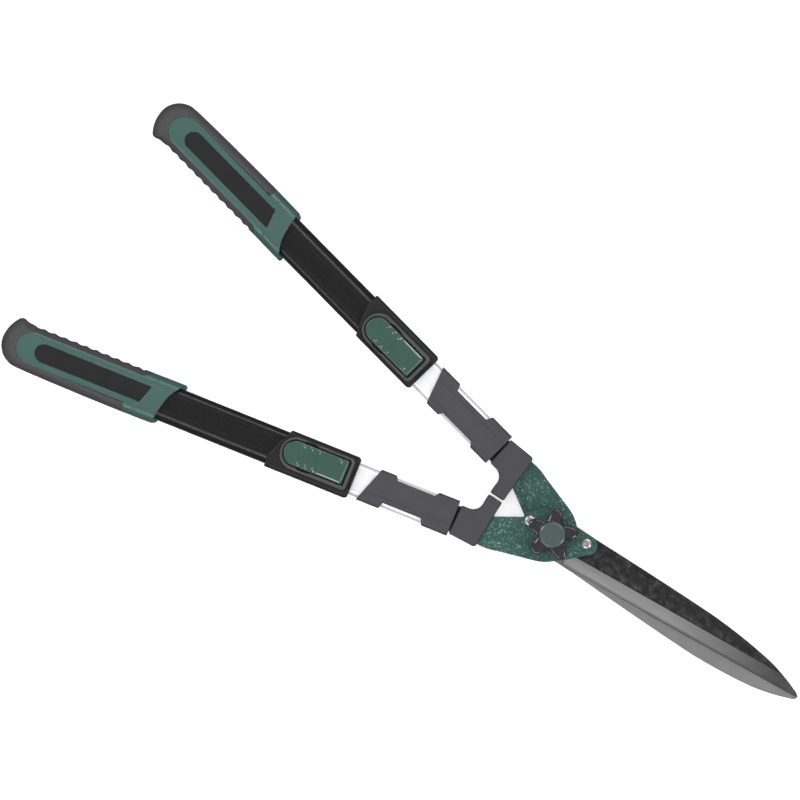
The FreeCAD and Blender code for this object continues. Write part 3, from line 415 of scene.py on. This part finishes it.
def outward(points):
    """The outline's outward normals, one for each point."""
    area = sum(a[0] * b[1] - b[0] * a[1] for a, b in zip(points, points[1:] + points[:1]))
    turn = 1 if area > 0 else -1
    normals = []
    for number in range(len(points)):
        (ax, ay), (bx, by) = points[number - 1], points[(number + 1) % len(points)]
        length = math.hypot(bx - ax, by - ay) or 1.0
        normals.append((turn * (by - ay) / length, turn * (ax - bx) / length))
    return normals


def shrunk(points, inset):
    """The outline drawn in by inset."""
    return [(x - nx * inset, y - ny * inset) for (x, y), (nx, ny) in zip(points, outward(points))]


def skin(rings, closed=False):
    """The walls between rings of equally many points, with the rows of their vertices. If closed, the
    last ring is joined to the first."""
    bm = bmesh.new()
    rows = [[bm.verts.new(Vector(point) * MM) for point in ring] for ring in rings]
    for low, high in zip(rows, rows[1:] + rows[:closed]):
        for n in range(len(low)):
            after = (n + 1) % len(low)
            bm.faces.new((low[n], low[after], high[after], high[n]))
    return bm, rows


def loft(rings):
    """A solid through rings, with its first and last ring filled in."""
    bm, rows = skin(rings)
    bm.faces.new(rows[0][::-1])
    bm.faces.new(rows[-1])
    bmesh.ops.recalc_face_normals(bm, faces=bm.faces)
    return bm


def hoop_of(rings):
    """A ring-shaped solid through rings, the last joined to the first."""
    bm, _ = skin(rings, closed=True)
    bmesh.ops.recalc_face_normals(bm, faces=bm.faces)
    return bm


def prism(points, low, high):
    """A solid with one outline of (x, y) points, between two heights."""
    return loft([[(x, y, z) for x, y in points] for z in (low, high)])


def lathe(profile, x=0, y=0, count=72):
    """A solid turned about an upright axis, from the profile's (radius, height) pairs."""
    turns = [math.tau * n / count for n in range(count)]
    return loft([[(x + r * math.cos(a), y + r * math.sin(a), z) for a in turns] for r, z in profile])


def across(points, rear, front):
    """A solid with one cross-section of (y, z) points, along x."""
    return loft([[(x, y, z) for y, z in points] for x in (rear, front)])


def join(*solids):
    """One mesh of several solids."""
    whole = solids[0]
    for other in solids[1:]:
        spare = bpy.data.meshes.new("spare")
        other.to_mesh(spare)
        other.free()
        whole.from_mesh(spare)
        bpy.data.meshes.remove(spare)
    return whole


def carve(solid, tool, operation="DIFFERENCE"):
    """The solid cut by, kept inside or joined with the tool."""
    target, cutter = add_object("target", solid), add_object("cutter", tool)
    change = target.modifiers.new("carve", "BOOLEAN")
    change.object = cutter
    change.operation = operation
    change.solver = "EXACT"
    result = evaluated(target)
    drop(cutter)
    bmesh.ops.remove_doubles(result, verts=result.verts, dist=WELD)
    bmesh.ops.dissolve_degenerate(result, edges=result.edges, dist=WELD)
    return result


# ---------------------------------------------------------------- pieces

def drop(thing):
    """Removes an object with its mesh."""
    mesh = thing.data
    bpy.data.objects.remove(thing)
    bpy.data.meshes.remove(mesh)


def add_object(name, bm):
    """A scene object of the solid, which it uses up."""
    mesh = bpy.data.meshes.new(name)
    bm.to_mesh(mesh)
    bm.free()
    piece = bpy.data.objects.new(name, mesh)
    bpy.context.scene.collection.objects.link(piece)
    return piece


def round_edges(piece, radius, segments=3, sharp=30):
    """Rounds a piece's edges that turn more than sharp degrees."""
    bevel = piece.modifiers.new("rounding", "BEVEL")
    bevel.width = radius * MM
    bevel.segments = segments
    bevel.limit_method = "ANGLE"
    bevel.angle_limit = math.radians(sharp)
    bevel.use_clamp_overlap = False


def evaluated(piece):
    """The piece's mesh with its modifiers applied; the piece itself goes."""
    seen = piece.evaluated_get(bpy.context.evaluated_depsgraph_get())
    result = bmesh.new()
    result.from_mesh(seen.to_mesh())
    seen.to_mesh_clear()
    drop(piece)
    return result


def rounded(bm, radius):
    """The solid with its sharp edges rounded, kept within its own box."""
    places = [list(vert.co) for vert in bm.verts]
    low, high = ([pick(axis) for axis in zip(*places)] for pick in (min, max))
    piece = add_object("rounded", bm)
    round_edges(piece, radius)
    result = evaluated(piece)
    for vert in result.verts:
        vert.co = [min(max(at, a), b) for at, a, b in zip(vert.co, low, high)]
    return result


def finished(node, bm, radius=0.4, segments=3, sharp=30, weighted=True):
    """The piece that stands for a CAD node: its sharp edges rounded, and the node's body, slot and
    finish."""
    piece = add_object(node + "_piece", bm)
    piece.data.shade_smooth()
    if radius:
        round_edges(piece, radius, segments, sharp)
    if weighted:
        shading = piece.modifiers.new("shading", "WEIGHTED_NORMAL")
        shading.weight = 80
        shading.keep_sharp = False
    else:
        piece.data.set_sharp_from_angle(angle=math.radians(50))
    piece.data.materials.append(finish_of(node))
    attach(piece, BODY_OF[node])
    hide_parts(node)
    return piece


def cad_copy(node):
    """A copy of a CAD node's mesh, with its flats joined up."""
    bm = bmesh.new()
    bm.from_mesh(frame["nodes"][node].data)
    bmesh.ops.remove_doubles(bm, verts=bm.verts, dist=1e-6)
    bmesh.ops.dissolve_limit(bm, angle_limit=math.radians(0.3), verts=bm.verts, edges=bm.edges)
    return bm


def on_handle(bm, side, shift=0.0):
    """Moves a solid drawn along the left handle's axes to its side, shift millimetres rearwards."""
    bm.transform(HANDLE[side] @ Matrix.Translation((-shift * MM, 0, 0)))
    if HANDLE[side].determinant() < 0:
        bmesh.ops.reverse_faces(bm, faces=bm.faces)
    return bm


# ---------------------------------------------------------------- grips

GRIP_TOP = 14.0
GRIP_ROUNDING = 9.0
GRIP_AXIS = -0.5
GRIP_REAR_CENTRE = -436.0
GRIP_OUTLINE = smooth_run([
    (-300, 18.6), (-318, 19.0), (-348, 19.5), (-392, 19.2), (-436, 18.2), (-446, 16.3),
    (-452.6, 11.3), (-456.3, 4.5), (-457, -2), (-455.4, -10), (-452, -16.6), (-448.2, -20.6),
    (-444, -20.5), (-437, -18.9), (-390, -18.9), (-340, -18.9), (-318, -19.1), (-300, -19.2)])
CORE_OUTLINE = outline(
    (-296, 25), (-347.4, 25), (-347.4, 15), (-348.3, 12.9, -350.4, 12), (-432, 12),
    (-444.6, -1, -432, -14), (-340, -14), (-333, -20), (-333, -25), (-296, -25))
COLLAR_OUTLINE = outline(
    (-296, 25), (-338, 25), (-338, 9), (-332, -9), (-325, -18), (-324, -25), (-296, -25))
INLAY_OUTLINE = outline(
    (-334.2, -7.7), (-332.7, -7.2, -332.6, -5.6), (-336.2, 4.8), (-337.2, 6.4, -339.4, 6.8),
    (-421.5, 6.8), (-426.8, 4.6, -429, -0.6), (-426.8, -5.6, -421.5, -7.7))
MOUTH_OUTLINE = [(-290, 26), (-321, 26)] + smooth_run([
    (-320.9, 15), (-320.4, 10), (-319.3, 5), (-317.8, -1), (-315.3, -7.5), (-311.5, -13),
    (-307.5, -18), (-304, -26)]) + [(-290, -26)]
LIP_OUTLINE = outline(
    (-280, 30), (-321, 30), (-321, 18.6), (-318.2, 17.6, -317.2, 15), (-311, -8),
    (-305.2, -15.6), (-304.9, -18.2, -307.4, -19.6), (-309, -30), (-280, -30))
GRIP_SHIFT = 6.0
GRIP_EDGE = 0.35
COLLAR_RISE, COLLAR_SLOPE, COLLAR_LAP, COLLAR_GROW = 0.45, 1.3, 3.0, 0.05
INLAY_FLOOR, INLAY_FACE, INLAY_RIM, INLAY_GAP = 2.2, 1.2, 0.75, 0.12
INLAY_EDGE = 0.25
ROOM_REAR, ROOM_FRONT = -442.0, -280.0
MOUTH_DEPTH = 9.0
TUBE_HALF, TUBE_CORNERS = (15.3, 10.2), {1: 8.6, -1: 6.5}
SCALLOP_PITCH = 9.0
SCALLOP_DEPTH = 1.0
SCALLOPS = (-437.0, -341.0)


def reach(outline_points, origin, direction):
    """How far the outline is from a point inside it, in a direction."""
    (ox, oy), (dx, dy) = origin, direction
    best = 0.0
    for (ax, ay), (bx, by) in zip(outline_points, outline_points[1:] + outline_points[:1]):
        ex, ey = bx - ax, by - ay
        det = dx * ey - dy * ex
        if abs(det) < 1e-12:
            continue
        far = ((ax - ox) * ey - (ay - oy) * ex) / det
        along = ((ax - ox) * dy - (ay - oy) * dx) / det
        if far > 0 and -1e-9 <= along <= 1 + 1e-9:
            best = max(best, far)
    return best


def grip_rays():
    """Where the grip's outline is measured from, and in which direction."""
    front, spacing, turns = -303.0, 1.0, 44
    count = round((front - GRIP_REAR_CENTRE) / spacing)
    along = [front - spacing * n for n in range(count)]
    rays = [((x, GRIP_AXIS), (0.0, 1.0)) for x in along]
    rays += [((GRIP_REAR_CENTRE, GRIP_AXIS), (-math.sin(a), math.cos(a)))
             for a in (math.pi * n / turns for n in range(turns + 1))]
    rays += [((x, GRIP_AXIS), (0.0, -1.0)) for x in reversed(along)]
    return rays


def grip_form(top, grow=0.0):
    """The grip's outer form: its outline grown by grow, rounded over to two flat faces at top above
    and below the handle's axis, with finger scallops."""
    rays = [(origin, direction, reach(GRIP_OUTLINE, origin, direction) + grow)
            for origin, direction in grip_rays()]
    flat = top - GRIP_ROUNDING
    arc = [math.pi / 2 * n / 9 for n in range(10)]
    levels = [(a, flat + GRIP_ROUNDING * math.sin(a)) for a in arc]
    levels = [(a, -z) for a, z in levels[::-1]] + [(0.0, 0.0)] + levels
    rings = []
    for turn, z in levels:
        ring = []
        for (ox, oy), (dx, dy), far in rays:
            x = ox + dx * far
            if dy < -0.9 and SCALLOPS[0] < x < SCALLOPS[1]:
                wave = 0.5 - 0.5 * math.cos(math.tau * (x - SCALLOPS[0]) / SCALLOP_PITCH)
                far -= SCALLOP_DEPTH * wave ** 0.7 * math.cos(turn)
            far -= GRIP_ROUNDING * (1 - math.cos(turn))
            ring.append((ox + dx * far, oy + dy * far, z))
        rings.append(ring)
    return loft(rings)


def tube_section():
    """The outer tube's section without its recessed faces: (y, z) points."""
    half_wide, half_high = TUBE_HALF
    steps = []
    for sy, sz in ((1, 1), (-1, 1), (-1, -1), (1, -1)):
        corner = TUBE_CORNERS[sy]
        cut = corner * (1 - math.sqrt(0.5))
        near = (sy * half_wide, sz * (half_high - corner))
        far = (sy * (half_wide - corner), sz * half_high)
        bulge = (sy * (half_wide - cut), sz * (half_high - cut))
        first, last = (near, far) if sy == sz else (far, near)
        steps += [first, bulge + last]
    return outline(*steps)


def grip_cuts():
    """The tube's room, the slanted mouth in the upper face, and the end of the lower lip."""
    room = across(tube_section(), ROOM_REAR, ROOM_FRONT)
    mouth = prism(MOUTH_OUTLINE, GRIP_TOP - MOUTH_DEPTH, BEYOND)
    end = prism(LIP_OUTLINE, -BEYOND, BEYOND)
    return room, mouth, end


def cut_all(solid, *tools):
    """The solid cut by each tool in turn."""
    for tool in tools:
        solid = carve(solid, tool)
    return solid


def collar_tool():
    """Where the raised collar is: its rear edge runs down to the bands in a short slope."""
    front = max(x for x, _ in COLLAR_OUTLINE)
    slope = [(x - COLLAR_SLOPE, y) if x < front else (x, y) for x, y in COLLAR_OUTLINE]
    low, high = GRIP_TOP - COLLAR_RISE, GRIP_TOP
    levels = [(COLLAR_OUTLINE, -BEYOND), (COLLAR_OUTLINE, -high), (slope, -low), (slope, low),
              (COLLAR_OUTLINE, high), (COLLAR_OUTLINE, BEYOND)]
    return loft([[(x, y, z) for x, y in points] for points, z in levels])


def inlay_tool(up):
    """The inlay's recess in the upper or lower face, its rim rounded over."""
    face = GRIP_TOP - COLLAR_RISE
    steps = [(0.0, GRIP_TOP - INLAY_FLOOR), (0.0, face - INLAY_RIM)]
    steps += [(INLAY_RIM * (1 - math.cos(a)), face - INLAY_RIM * (1 - math.sin(a)))
              for a in (math.pi / 2 * n / 4 for n in range(1, 5))]
    steps.append((INLAY_RIM + 0.3, face + 3))
    return loft([[(x, y, up * z) for x, y in shrunk(INLAY_OUTLINE, -out)] for out, z in steps])


def make_grip(side):
    """The hard core with its raised collar, the rubber round its sides and rear, and two inlays."""
    shift = GRIP_SHIFT * (side == "right")
    low = cut_all(grip_form(GRIP_TOP - COLLAR_RISE), *grip_cuts())
    core = carve(low.copy(), prism(CORE_OUTLINE, -BEYOND, BEYOND), "INTERSECT")
    rubber = carve(low, prism(CORE_OUTLINE, -BEYOND, BEYOND))
    under = [(x + COLLAR_LAP, y) for x, y in COLLAR_OUTLINE]
    core = carve(core, prism(under, -BEYOND, BEYOND))
    collar = cut_all(grip_form(GRIP_TOP, COLLAR_GROW), *grip_cuts())
    collar = carve(collar, collar_tool(), "INTERSECT")
    inlays = []
    for up in (1, -1):
        core = carve(core, inlay_tool(up))
        collar = carve(collar, inlay_tool(up))
        levels = sorted(up * (GRIP_TOP - depth) for depth in (INLAY_FLOOR, INLAY_FACE))
        inlays.append(prism(shrunk(INLAY_OUTLINE, INLAY_GAP), *levels))
    core = join(rounded(core, GRIP_EDGE), rounded(collar, GRIP_EDGE))
    for name, solid, radius in (("grip_core", core, 0), ("grip_rubber", rubber, GRIP_EDGE),
                                ("grip_inlays", join(*inlays), INLAY_EDGE)):
        finished(f"{side}_{name}", on_handle(solid, side, shift), radius)


# ---------------------------------------------------------------- lock levers

PIN = HANDLE["left"].inverted() @ Vector(JOINTS["left_lever_lift"]["pos_m"]) / MM
LEVER_PIN = (PIN.x, PIN.z)
LEVER_FRONT, LEVER_ROUND, LEVER_AXIS, LEVER_HALF = -167.6, -210.9, -1.5, 10.0
LEVER_FLOOR, LEVER_FACE = 11.8, 16.4
LEVER_ROWS = 24
HUB_RADIUS, CAM_RADIUS, CAM_OFFSET, BORE_RADIUS = 3.2, 3.0, 0.7, 1.3
HUB_ENDS = (-8.8, 5.8)
HOLLOW_FRONT, HOLLOW_ROUND, HOLLOW_HALF, HOLLOW_TOP = -177.0, -211.5, 8.0, 14.0
RIB_PLACES = (-206.5, -200.0, -193.5)
RIB_WIDTH, RIB_RISE = 0.95, 0.6
EDGE_SLOPE, SLOPE_WIDTH = 0.42, 2.3
DISH_PLACE, DISH_DEPTH, DISH_WIDTH = -181.5, 0.45, 6.0
CREASE_PLACE, CREASE_RISE, CREASE_WIDTH = -174.8, 0.75, 1.3
SCOOP_DEPTH, SCOOP_WIDTH = 0.5, 9.0
MOST_DROP, LEVER_MARGIN = 3.8, 0.3


def lever_stations():
    """Places along the lever, with its half width there."""
    spacing, turns, least = 0.3, 30, 0.05
    count = round((LEVER_FRONT - LEVER_ROUND) / spacing)
    places = [(LEVER_FRONT - spacing * n, LEVER_HALF) for n in range(count)]
    return places + [(LEVER_ROUND - LEVER_HALF * math.sin(a), max(LEVER_HALF * math.cos(a), least))
                     for a in (math.pi / 2 * n / turns for n in range(turns + 1))]


def rolled(distance, width, depth):
    """How far a face has dropped at a distance from its edge, where an edge width wide rolls over."""
    share = min(max(1 - distance / width, 0), 1)
    return depth * (1 - math.sqrt(1 - share * share))


def eased(value):
    """0 below 0, 1 above 1, and a smooth step between."""
    value = min(max(value, 0), 1)
    return value * value * (3 - 2 * value)


def swell(x, place, width):
    """A rounded bump: 1 at place, fading over width to either side."""
    return math.exp(-((x - place) / width) ** 2)


def lever_height(x, share, half):
    """The height of the lever's face at a share of the half width from its middle."""
    edge = half * (1 - abs(share))
    front = eased((x - RIB_PLACES[-1]) / 4)
    if share > 0:
        drop = rolled(edge, 0.9, 0.8) + EDGE_SLOPE * max(SLOPE_WIDTH - edge, 0) * front
    else:
        drop = rolled(edge, 1.0, 1.0)
    drop += rolled(LEVER_FRONT - x, 3.2, 3.1)
    drop += rolled(x - LEVER_ROUND + LEVER_HALF, 6.0, 1.2)
    dish = DISH_DEPTH * swell(x, DISH_PLACE, DISH_WIDTH)
    rib = sum(swell(x, place, RIB_WIDTH) for place in RIB_PLACES)
    rib *= RIB_RISE * (0.3 + 0.7 * eased((abs(share) - 0.5) / 0.2))
    scoop = SCOOP_DEPTH * swell(x, RIB_PLACES[1], SCOOP_WIDTH)
    crease = CREASE_RISE * swell(x, CREASE_PLACE, CREASE_WIDTH) * eased((-share - 0.2) / 0.5)
    return LEVER_FACE - LEVER_MARGIN - min(drop, MOST_DROP) - dish - scoop + rib + crease


def make_lever(side):
    """The thumb plate with rolled edges and three cross ribs, hollow below, with its hub and cam."""
    shares = [math.sin(math.pi / 2 * n / LEVER_ROWS) for n in range(-LEVER_ROWS, LEVER_ROWS + 1)]
    rings = []
    for x, half in lever_stations():
        y = [LEVER_AXIS + share * half for share in shares]
        top = [(x, at, lever_height(x, share, half)) for at, share in zip(y, shares)]
        rings.append([(x, y[0], LEVER_FLOOR)] + top + [(x, y[-1], LEVER_FLOOR)])
    plate = loft(rings)
    near, far = LEVER_AXIS - HOLLOW_HALF, LEVER_AXIS + HOLLOW_HALF
    hollow = outline((HOLLOW_FRONT, near), (HOLLOW_FRONT, far), (HOLLOW_ROUND, far),
                     (HOLLOW_ROUND - HOLLOW_HALF, LEVER_AXIS, HOLLOW_ROUND, near))
    plate = carve(plate, prism(hollow, LEVER_FLOOR - 1, HOLLOW_TOP))
    pin_x, pin_z = LEVER_PIN
    hub = disc_across(LEVER_PIN, HUB_RADIUS, *HUB_ENDS)
    cam = disc_across((pin_x, pin_z - CAM_OFFSET), CAM_RADIUS, *HUB_ENDS)
    bore = disc_across(LEVER_PIN, BORE_RADIUS, -BEYOND, BEYOND)
    solid = carve(carve(carve(plate, hub, "UNION"), cam, "UNION"), bore)
    finished(f"{side}_lock_lever", on_handle(solid, side), 0, weighted=False)


def disc_across(centre, radius, start, end, count=40):
    """A round bar across the handle, centred on a place along it and a height."""
    turns = [math.tau * n / count for n in range(count)]
    return loft([[(centre[0] + radius * math.cos(a), y, centre[1] + radius * math.sin(a))
                  for a in turns] for y in (start, end)])


# ---------------------------------------------------------------- knob

KNOB_LOBES = 5
KNOB_TURN = math.radians(39.0)
KNOB_REACH, KNOB_WAIST, KNOB_FULLNESS = 21.3, 12.1, 0.95
KNOB_SLOPE, KNOB_ROLL = 1.2, 2.3
KNOB_FLOOR, KNOB_FACE, KNOB_CROWN = 23.975, 38.45, 39.2
KNOB_HALFWAY = 30.0
CAP_RADIUS, CAP_SEAT, CAP_GAP = 10.7, 36.5, 0.05
CAP_BEAD = [(0.0, 38.75), (0.15, 39.15), (0.45, 39.45), (0.8, 39.6), (1.15, 39.5), (1.5, 39.32),
            (1.9, 39.18)]           # from the cap's rim inwards: how far in, and the height
CAP_FACE = [(6.0, 39.14), (4.0, 39.16), (1.0, 39.2)]    # radius and height
NUT_ROOM, NUT_DEPTH, BOLT_ROOM, BOLT_TOP = 7.51, 6.5, 4.5, 36.1


def knob_outline(count=300):
    """The knob from above: round lobes with wide hollows between them."""
    points = []
    for n in range(count):
        a = math.tau * n / count
        lobe = (0.5 + 0.5 * math.cos(KNOB_LOBES * (a - KNOB_TURN))) ** KNOB_FULLNESS
        r = KNOB_WAIST + (KNOB_REACH - KNOB_WAIST) * lobe
        points.append((r * math.cos(a), r * math.sin(a)))
    return points


def make_knob():
    """The knob with its nut's pocket and bolt hole, and the cap let into its face."""
    plan = knob_outline()

    def ring(inset, lift, level=None):
        """The outline drawn in by inset, at level or lift below the sloping face."""
        points = []
        for (x, y), (px, py) in zip(shrunk(plan, inset), plan):
            share = (math.hypot(px, py) - KNOB_WAIST) / (KNOB_REACH - KNOB_WAIST)
            face = KNOB_FACE - KNOB_SLOPE * share ** 2
            points.append((x, y, face - lift if level is None else level))
        return points

    def hoop(radius, z):
        return [(radius * x / math.hypot(x, y), radius * y / math.hypot(x, y), z) for x, y in plan]

    rings = [ring(0.9, 0, KNOB_FLOOR), ring(0.3, 0, KNOB_FLOOR + 0.3),
             ring(0.0, 0, KNOB_FLOOR + 1.0), ring(0.05, 0, KNOB_HALFWAY)]
    rings += [ring(KNOB_ROLL * (1 - math.cos(a)), KNOB_ROLL * (1 - math.sin(a)))
              for a in (math.pi / 2 * n / 7 for n in range(7))]
    shoulder = hoop(CAP_RADIUS + 0.7, KNOB_FACE + 0.15)
    last = ring(KNOB_ROLL, 0)
    for share in (0.0, 0.25, 0.5, 0.75):
        rings.append([tuple(p + (q - p) * share for p, q in zip(one, two))
                      for one, two in zip(last, shoulder)])
    rings += [shoulder]
    rings += [hoop(CAP_RADIUS + wide, KNOB_CROWN - drop)
              for wide, drop in ((0.6, 0.35), (0.45, 0.08), (0.3, 0.0), (0.15, 0.08), (0.0, 0.4))]
    rings += [hoop(CAP_RADIUS, CAP_SEAT)]
    body = loft(rings)
    pocket = [(NUT_ROOM, KNOB_FLOOR - 4), (NUT_ROOM, KNOB_FLOOR + NUT_DEPTH)]
    body = carve(body, lathe(pocket, count=6))
    body = carve(body, lathe([(BOLT_ROOM, KNOB_FLOOR - 4), (BOLT_ROOM, BOLT_TOP)], count=40))
    finished("knob", body, 0.15, 2, 50, weighted=False)
    rim = CAP_RADIUS - CAP_GAP
    profile = [(4.0, CAP_SEAT), (rim, CAP_SEAT)]
    profile += [(rim - inwards, z) for inwards, z in CAP_BEAD] + CAP_FACE
    finished("knob_cap", lathe(profile), 0)


# ---------------------------------------------------------------- lock sleeves

NOTCH_PLACE, NOTCH_HALF, NOTCH_DEPTH = -201.0, 7.0, 1.0
RIM_GAP, RIM_FLOOR, RIM_TOP, RIM_EDGE = 1.0, 12.0, 15.2, 0.6
RIM_REAR, RIM_WIDER, RIM_INNER = 1.6, 1.2, 0.4
SLEEVE_PLAN = [(-240, -30), (-150, -30), (-150, 30), (-240, 30)]
FRONT_CORNER = [(-162.4, 17.6), (-159.9, 17.6), (-159.9, 15.8)]
SLEEVE_TOP, SLEEVE_EDGE = 12.55, 0.5


def lever_outline():
    """The lever from above: round at the rear, with small corners in front."""
    near, far, corner = LEVER_AXIS - LEVER_HALF, LEVER_AXIS + LEVER_HALF, 0.8
    count = 56
    length = LEVER_FRONT - corner - LEVER_ROUND
    places = [LEVER_ROUND + length * n / count for n in range(count + 1)]
    return outline(*((x, far) for x in places[::-1]),
                   (LEVER_ROUND - LEVER_HALF, LEVER_AXIS, LEVER_ROUND, near),
                   *((x, near) for x in places[1:]),
                   (LEVER_FRONT - 0.3 * corner, near + 0.3 * corner, LEVER_FRONT, near + corner),
                   (LEVER_FRONT, far - corner),
                   (LEVER_FRONT - 0.3 * corner, far - 0.3 * corner, LEVER_FRONT - corner, far))


def make_rim():
    """The rim round the lever, widest in front and on the outside, and stepped back inside for a
    finger at each side."""
    plan = lever_outline()[:-1]
    normals = outward(plan)
    section = [(RIM_EDGE * (1 - math.cos(a)), False, RIM_EDGE * (1 - math.sin(a)))
               for a in (math.pi / 2 * n / 4 for n in range(5))]
    section += [(-shift, True, below) for shift, _, below in section[::-1]]
    depth = RIM_TOP - RIM_FLOOR
    rings = []
    for shift, outer, below in [(0, False, depth)] + section + [(0, True, depth)]:
        ring = []
        for (x, y), (nx, ny) in zip(plan, normals):
            dip = NOTCH_DEPTH * eased(2 - 2 * abs(x - NOTCH_PLACE) / NOTCH_HALF)
            width = RIM_REAR + RIM_WIDER * (max(nx, 0) + max(ny, 0)) + RIM_INNER * max(-ny, 0)
            off = RIM_GAP + (width if outer else dip) + shift
            ring.append((x + nx * off, y + ny * off, RIM_TOP - below))
        rings.append(ring)
    return hoop_of(rings)


def make_sleeve(side):
    """The lock sleeve, chamfered at its front corners, with its satin rim painted a lighter grey as a painted
    highlight.
    """
    solid = cad_copy(f"{side}_lock_sleeve")
    above = prism(SLEEVE_PLAN, SLEEVE_TOP, SLEEVE_TOP + 10)
    solid = carve(solid, on_handle(above, side))
    for way in (1, -1):
        corner = prism([(x, way * y) for x, y in FRONT_CORNER], -BEYOND, BEYOND)
        solid = carve(solid, on_handle(corner, side))
    body = rounded(solid, SLEEVE_EDGE)
    count = len(body.faces)
    piece = finished(f"{side}_lock_sleeve", join(body, on_handle(make_rim(), side)), 0)
    # the rim takes the lighter grey: a painted highlight
    piece.data.materials.append(FINISHES["any"]["rim_painted_highlight"])
    for face in piece.data.polygons[count:]:
        face.material_index = 1


# ---------------------------------------------------------------- pieces refined from CAD

ROUNDING = {
    "blade": 0.12, "tang": 0.8, "elbow": 1.2, "front_cover": 0.5, "inner_tube": 0.3,
    "outer_tube": 0.2, "lever_pin": 0.2, "sleeve_screw": 0.15, "lock_shoe": 0.2,
}


def make_refined():
    """The pieces whose CAD shape is already the real one, with their edges rounded."""
    made = {}
    for side in SIDES:
        for name, radius in ROUNDING.items():
            node = f"{side}_{name}"
            made[node] = finished(node, cad_copy(node), radius)
    return made


def finish_cad():
    """Gives the CAD nodes that still show their finish."""
    for node, thing in frame["nodes"].items():
        if not thing.hide_render:
            thing.data.materials.clear()
            thing.data.materials.append(finish_of(node))


def paint_blade(piece, side):
    """The bevel is ground bright, the flat that meets the other blade is pale, the rest is oxide."""
    piece.data.materials.clear()
    finishes = ("blade_steel", "bevel", "face")
    for finish in finishes:
        piece.data.materials.append(FINISHES[side][finish])
    up = -SIDES[side]
    for polygon in piece.data.polygons:
        lean = polygon.normal.z * up
        if lean < -0.9:
            polygon.material_index = finishes.index("face")
        elif 0.5 < lean < 0.99:
            polygon.material_index = finishes.index("bevel")


# ---------------------------------------------------------------- studio

VIEW_TURN = 33.65
VIEW_CENTRE = Vector((-0.161, 0.0223, BLADE_PLANE))
VIEW_WIDTH = 0.640
CAMERA_HEIGHT = 16.0
SENSOR = 36.0
CLIP_END = 30.0
FLOOR_GAP, FLOOR_HALF = 0.0002, 6.0
LIGHT_TARGET = Vector((-0.1, 0, 0))
LIGHTS = {      # size, power, place and whether the tool mirrors it
    "side_left": ((1.8, 0.22), 11, (-0.1, 1.2, 1.05), True),
    "side_right": ((1.8, 0.22), 11, (-0.1, -1.2, 1.05), True),
    "overhead": ((1.4, 1.4), 23, (-0.1, 0.0, 2.5), False),
    "rear": ((0.4, 0.9), 9, (-1.5, 0.0, 1.1), True),
    "front": ((0.4, 0.9), 9, (1.3, 0.0, 1.1), True),
}


def make_camera():
    """A far camera straight above, turned as the photo is."""
    camera = bpy.data.cameras.new("camera")
    camera.sensor_width = SENSOR
    camera.lens = SENSOR * CAMERA_HEIGHT / VIEW_WIDTH
    camera.clip_end = CLIP_END
    rig = bpy.data.objects.new("camera", camera)
    rig.location = VIEW_CENTRE + Vector((0, 0, CAMERA_HEIGHT))
    rig.rotation_euler = (0, 0, math.radians(VIEW_TURN))
    bpy.context.scene.collection.objects.link(rig)
    bpy.context.scene.camera = rig


def make_floor():
    """Pale paper just under the tool. It is only seen: it neither lights the tool nor shows in it."""
    bm = bmesh.new()
    bmesh.ops.create_grid(bm, x_segments=1, y_segments=1, size=FLOOR_HALF)
    floor = add_object("floor", bm)
    f = Finish("floor_paper")
    f.set(Base_Color=f.mix(f.noise(3, 2), (0.86, 0.86, 0.86), (0.88, 0.88, 0.88)), Roughness=0.95,
          Specular_IOR_Level=0.0, Emission_Color=(1, 1, 1, 1), Emission_Strength=0.55)
    floor.data.materials.append(f.material)
    floor.location.z = -FLOOR_GAP
    floor.visible_glossy = False
    floor.visible_diffuse = False


def make_light(name, size, power, place, mirrored):
    """A soft light aimed at the tool. One that isn't mirrored leaves no reflection in it."""
    light = bpy.data.lights.new(name, "AREA")
    light.shape = "RECTANGLE"
    light.size, light.size_y = size
    light.energy = power
    thing = bpy.data.objects.new(name, light)
    thing.location = place
    thing.visible_glossy = mirrored
    thing.rotation_mode = "QUATERNION"
    thing.rotation_quaternion = (LIGHT_TARGET - Vector(place)).to_track_quat("-Z", "Y")
    bpy.context.scene.collection.objects.link(thing)


def make_world():
    """Dim, even surroundings, a little brighter overhead."""
    world = bpy.data.worlds.new("studio")
    world.use_nodes = True
    tree = world.node_tree
    back = tree.nodes["Background"]
    place = tree.nodes.new("ShaderNodeTexCoord")
    split = tree.nodes.new("ShaderNodeSeparateXYZ")
    ramp = tree.nodes.new("ShaderNodeValToRGB")
    tree.links.new(place.outputs["Generated"], split.inputs[0])
    tree.links.new(split.outputs["Z"], ramp.inputs[0])
    tree.links.new(ramp.outputs[0], back.inputs["Color"])
    low, high = ramp.color_ramp.elements
    low.position, low.color = 0.1, (0.16, 0.16, 0.16, 1)
    high.position, high.color = 0.95, (0.2, 0.2, 0.2, 1)
    bpy.context.scene.world = world


def make_studio():
    """The surroundings and the soft lights, with colours shown as they are."""
    make_world()
    for name, light in LIGHTS.items():
        make_light(name, *light)
    bpy.context.scene.view_settings.view_transform = "Standard"


for side in SIDES:
    make_grip(side)
    make_lever(side)
    make_sleeve(side)
make_knob()
pieces = make_refined()
finish_cad()
for side in SIDES:
    paint_blade(pieces[f"{side}_blade"], side)
make_camera()
make_floor()
make_studio()
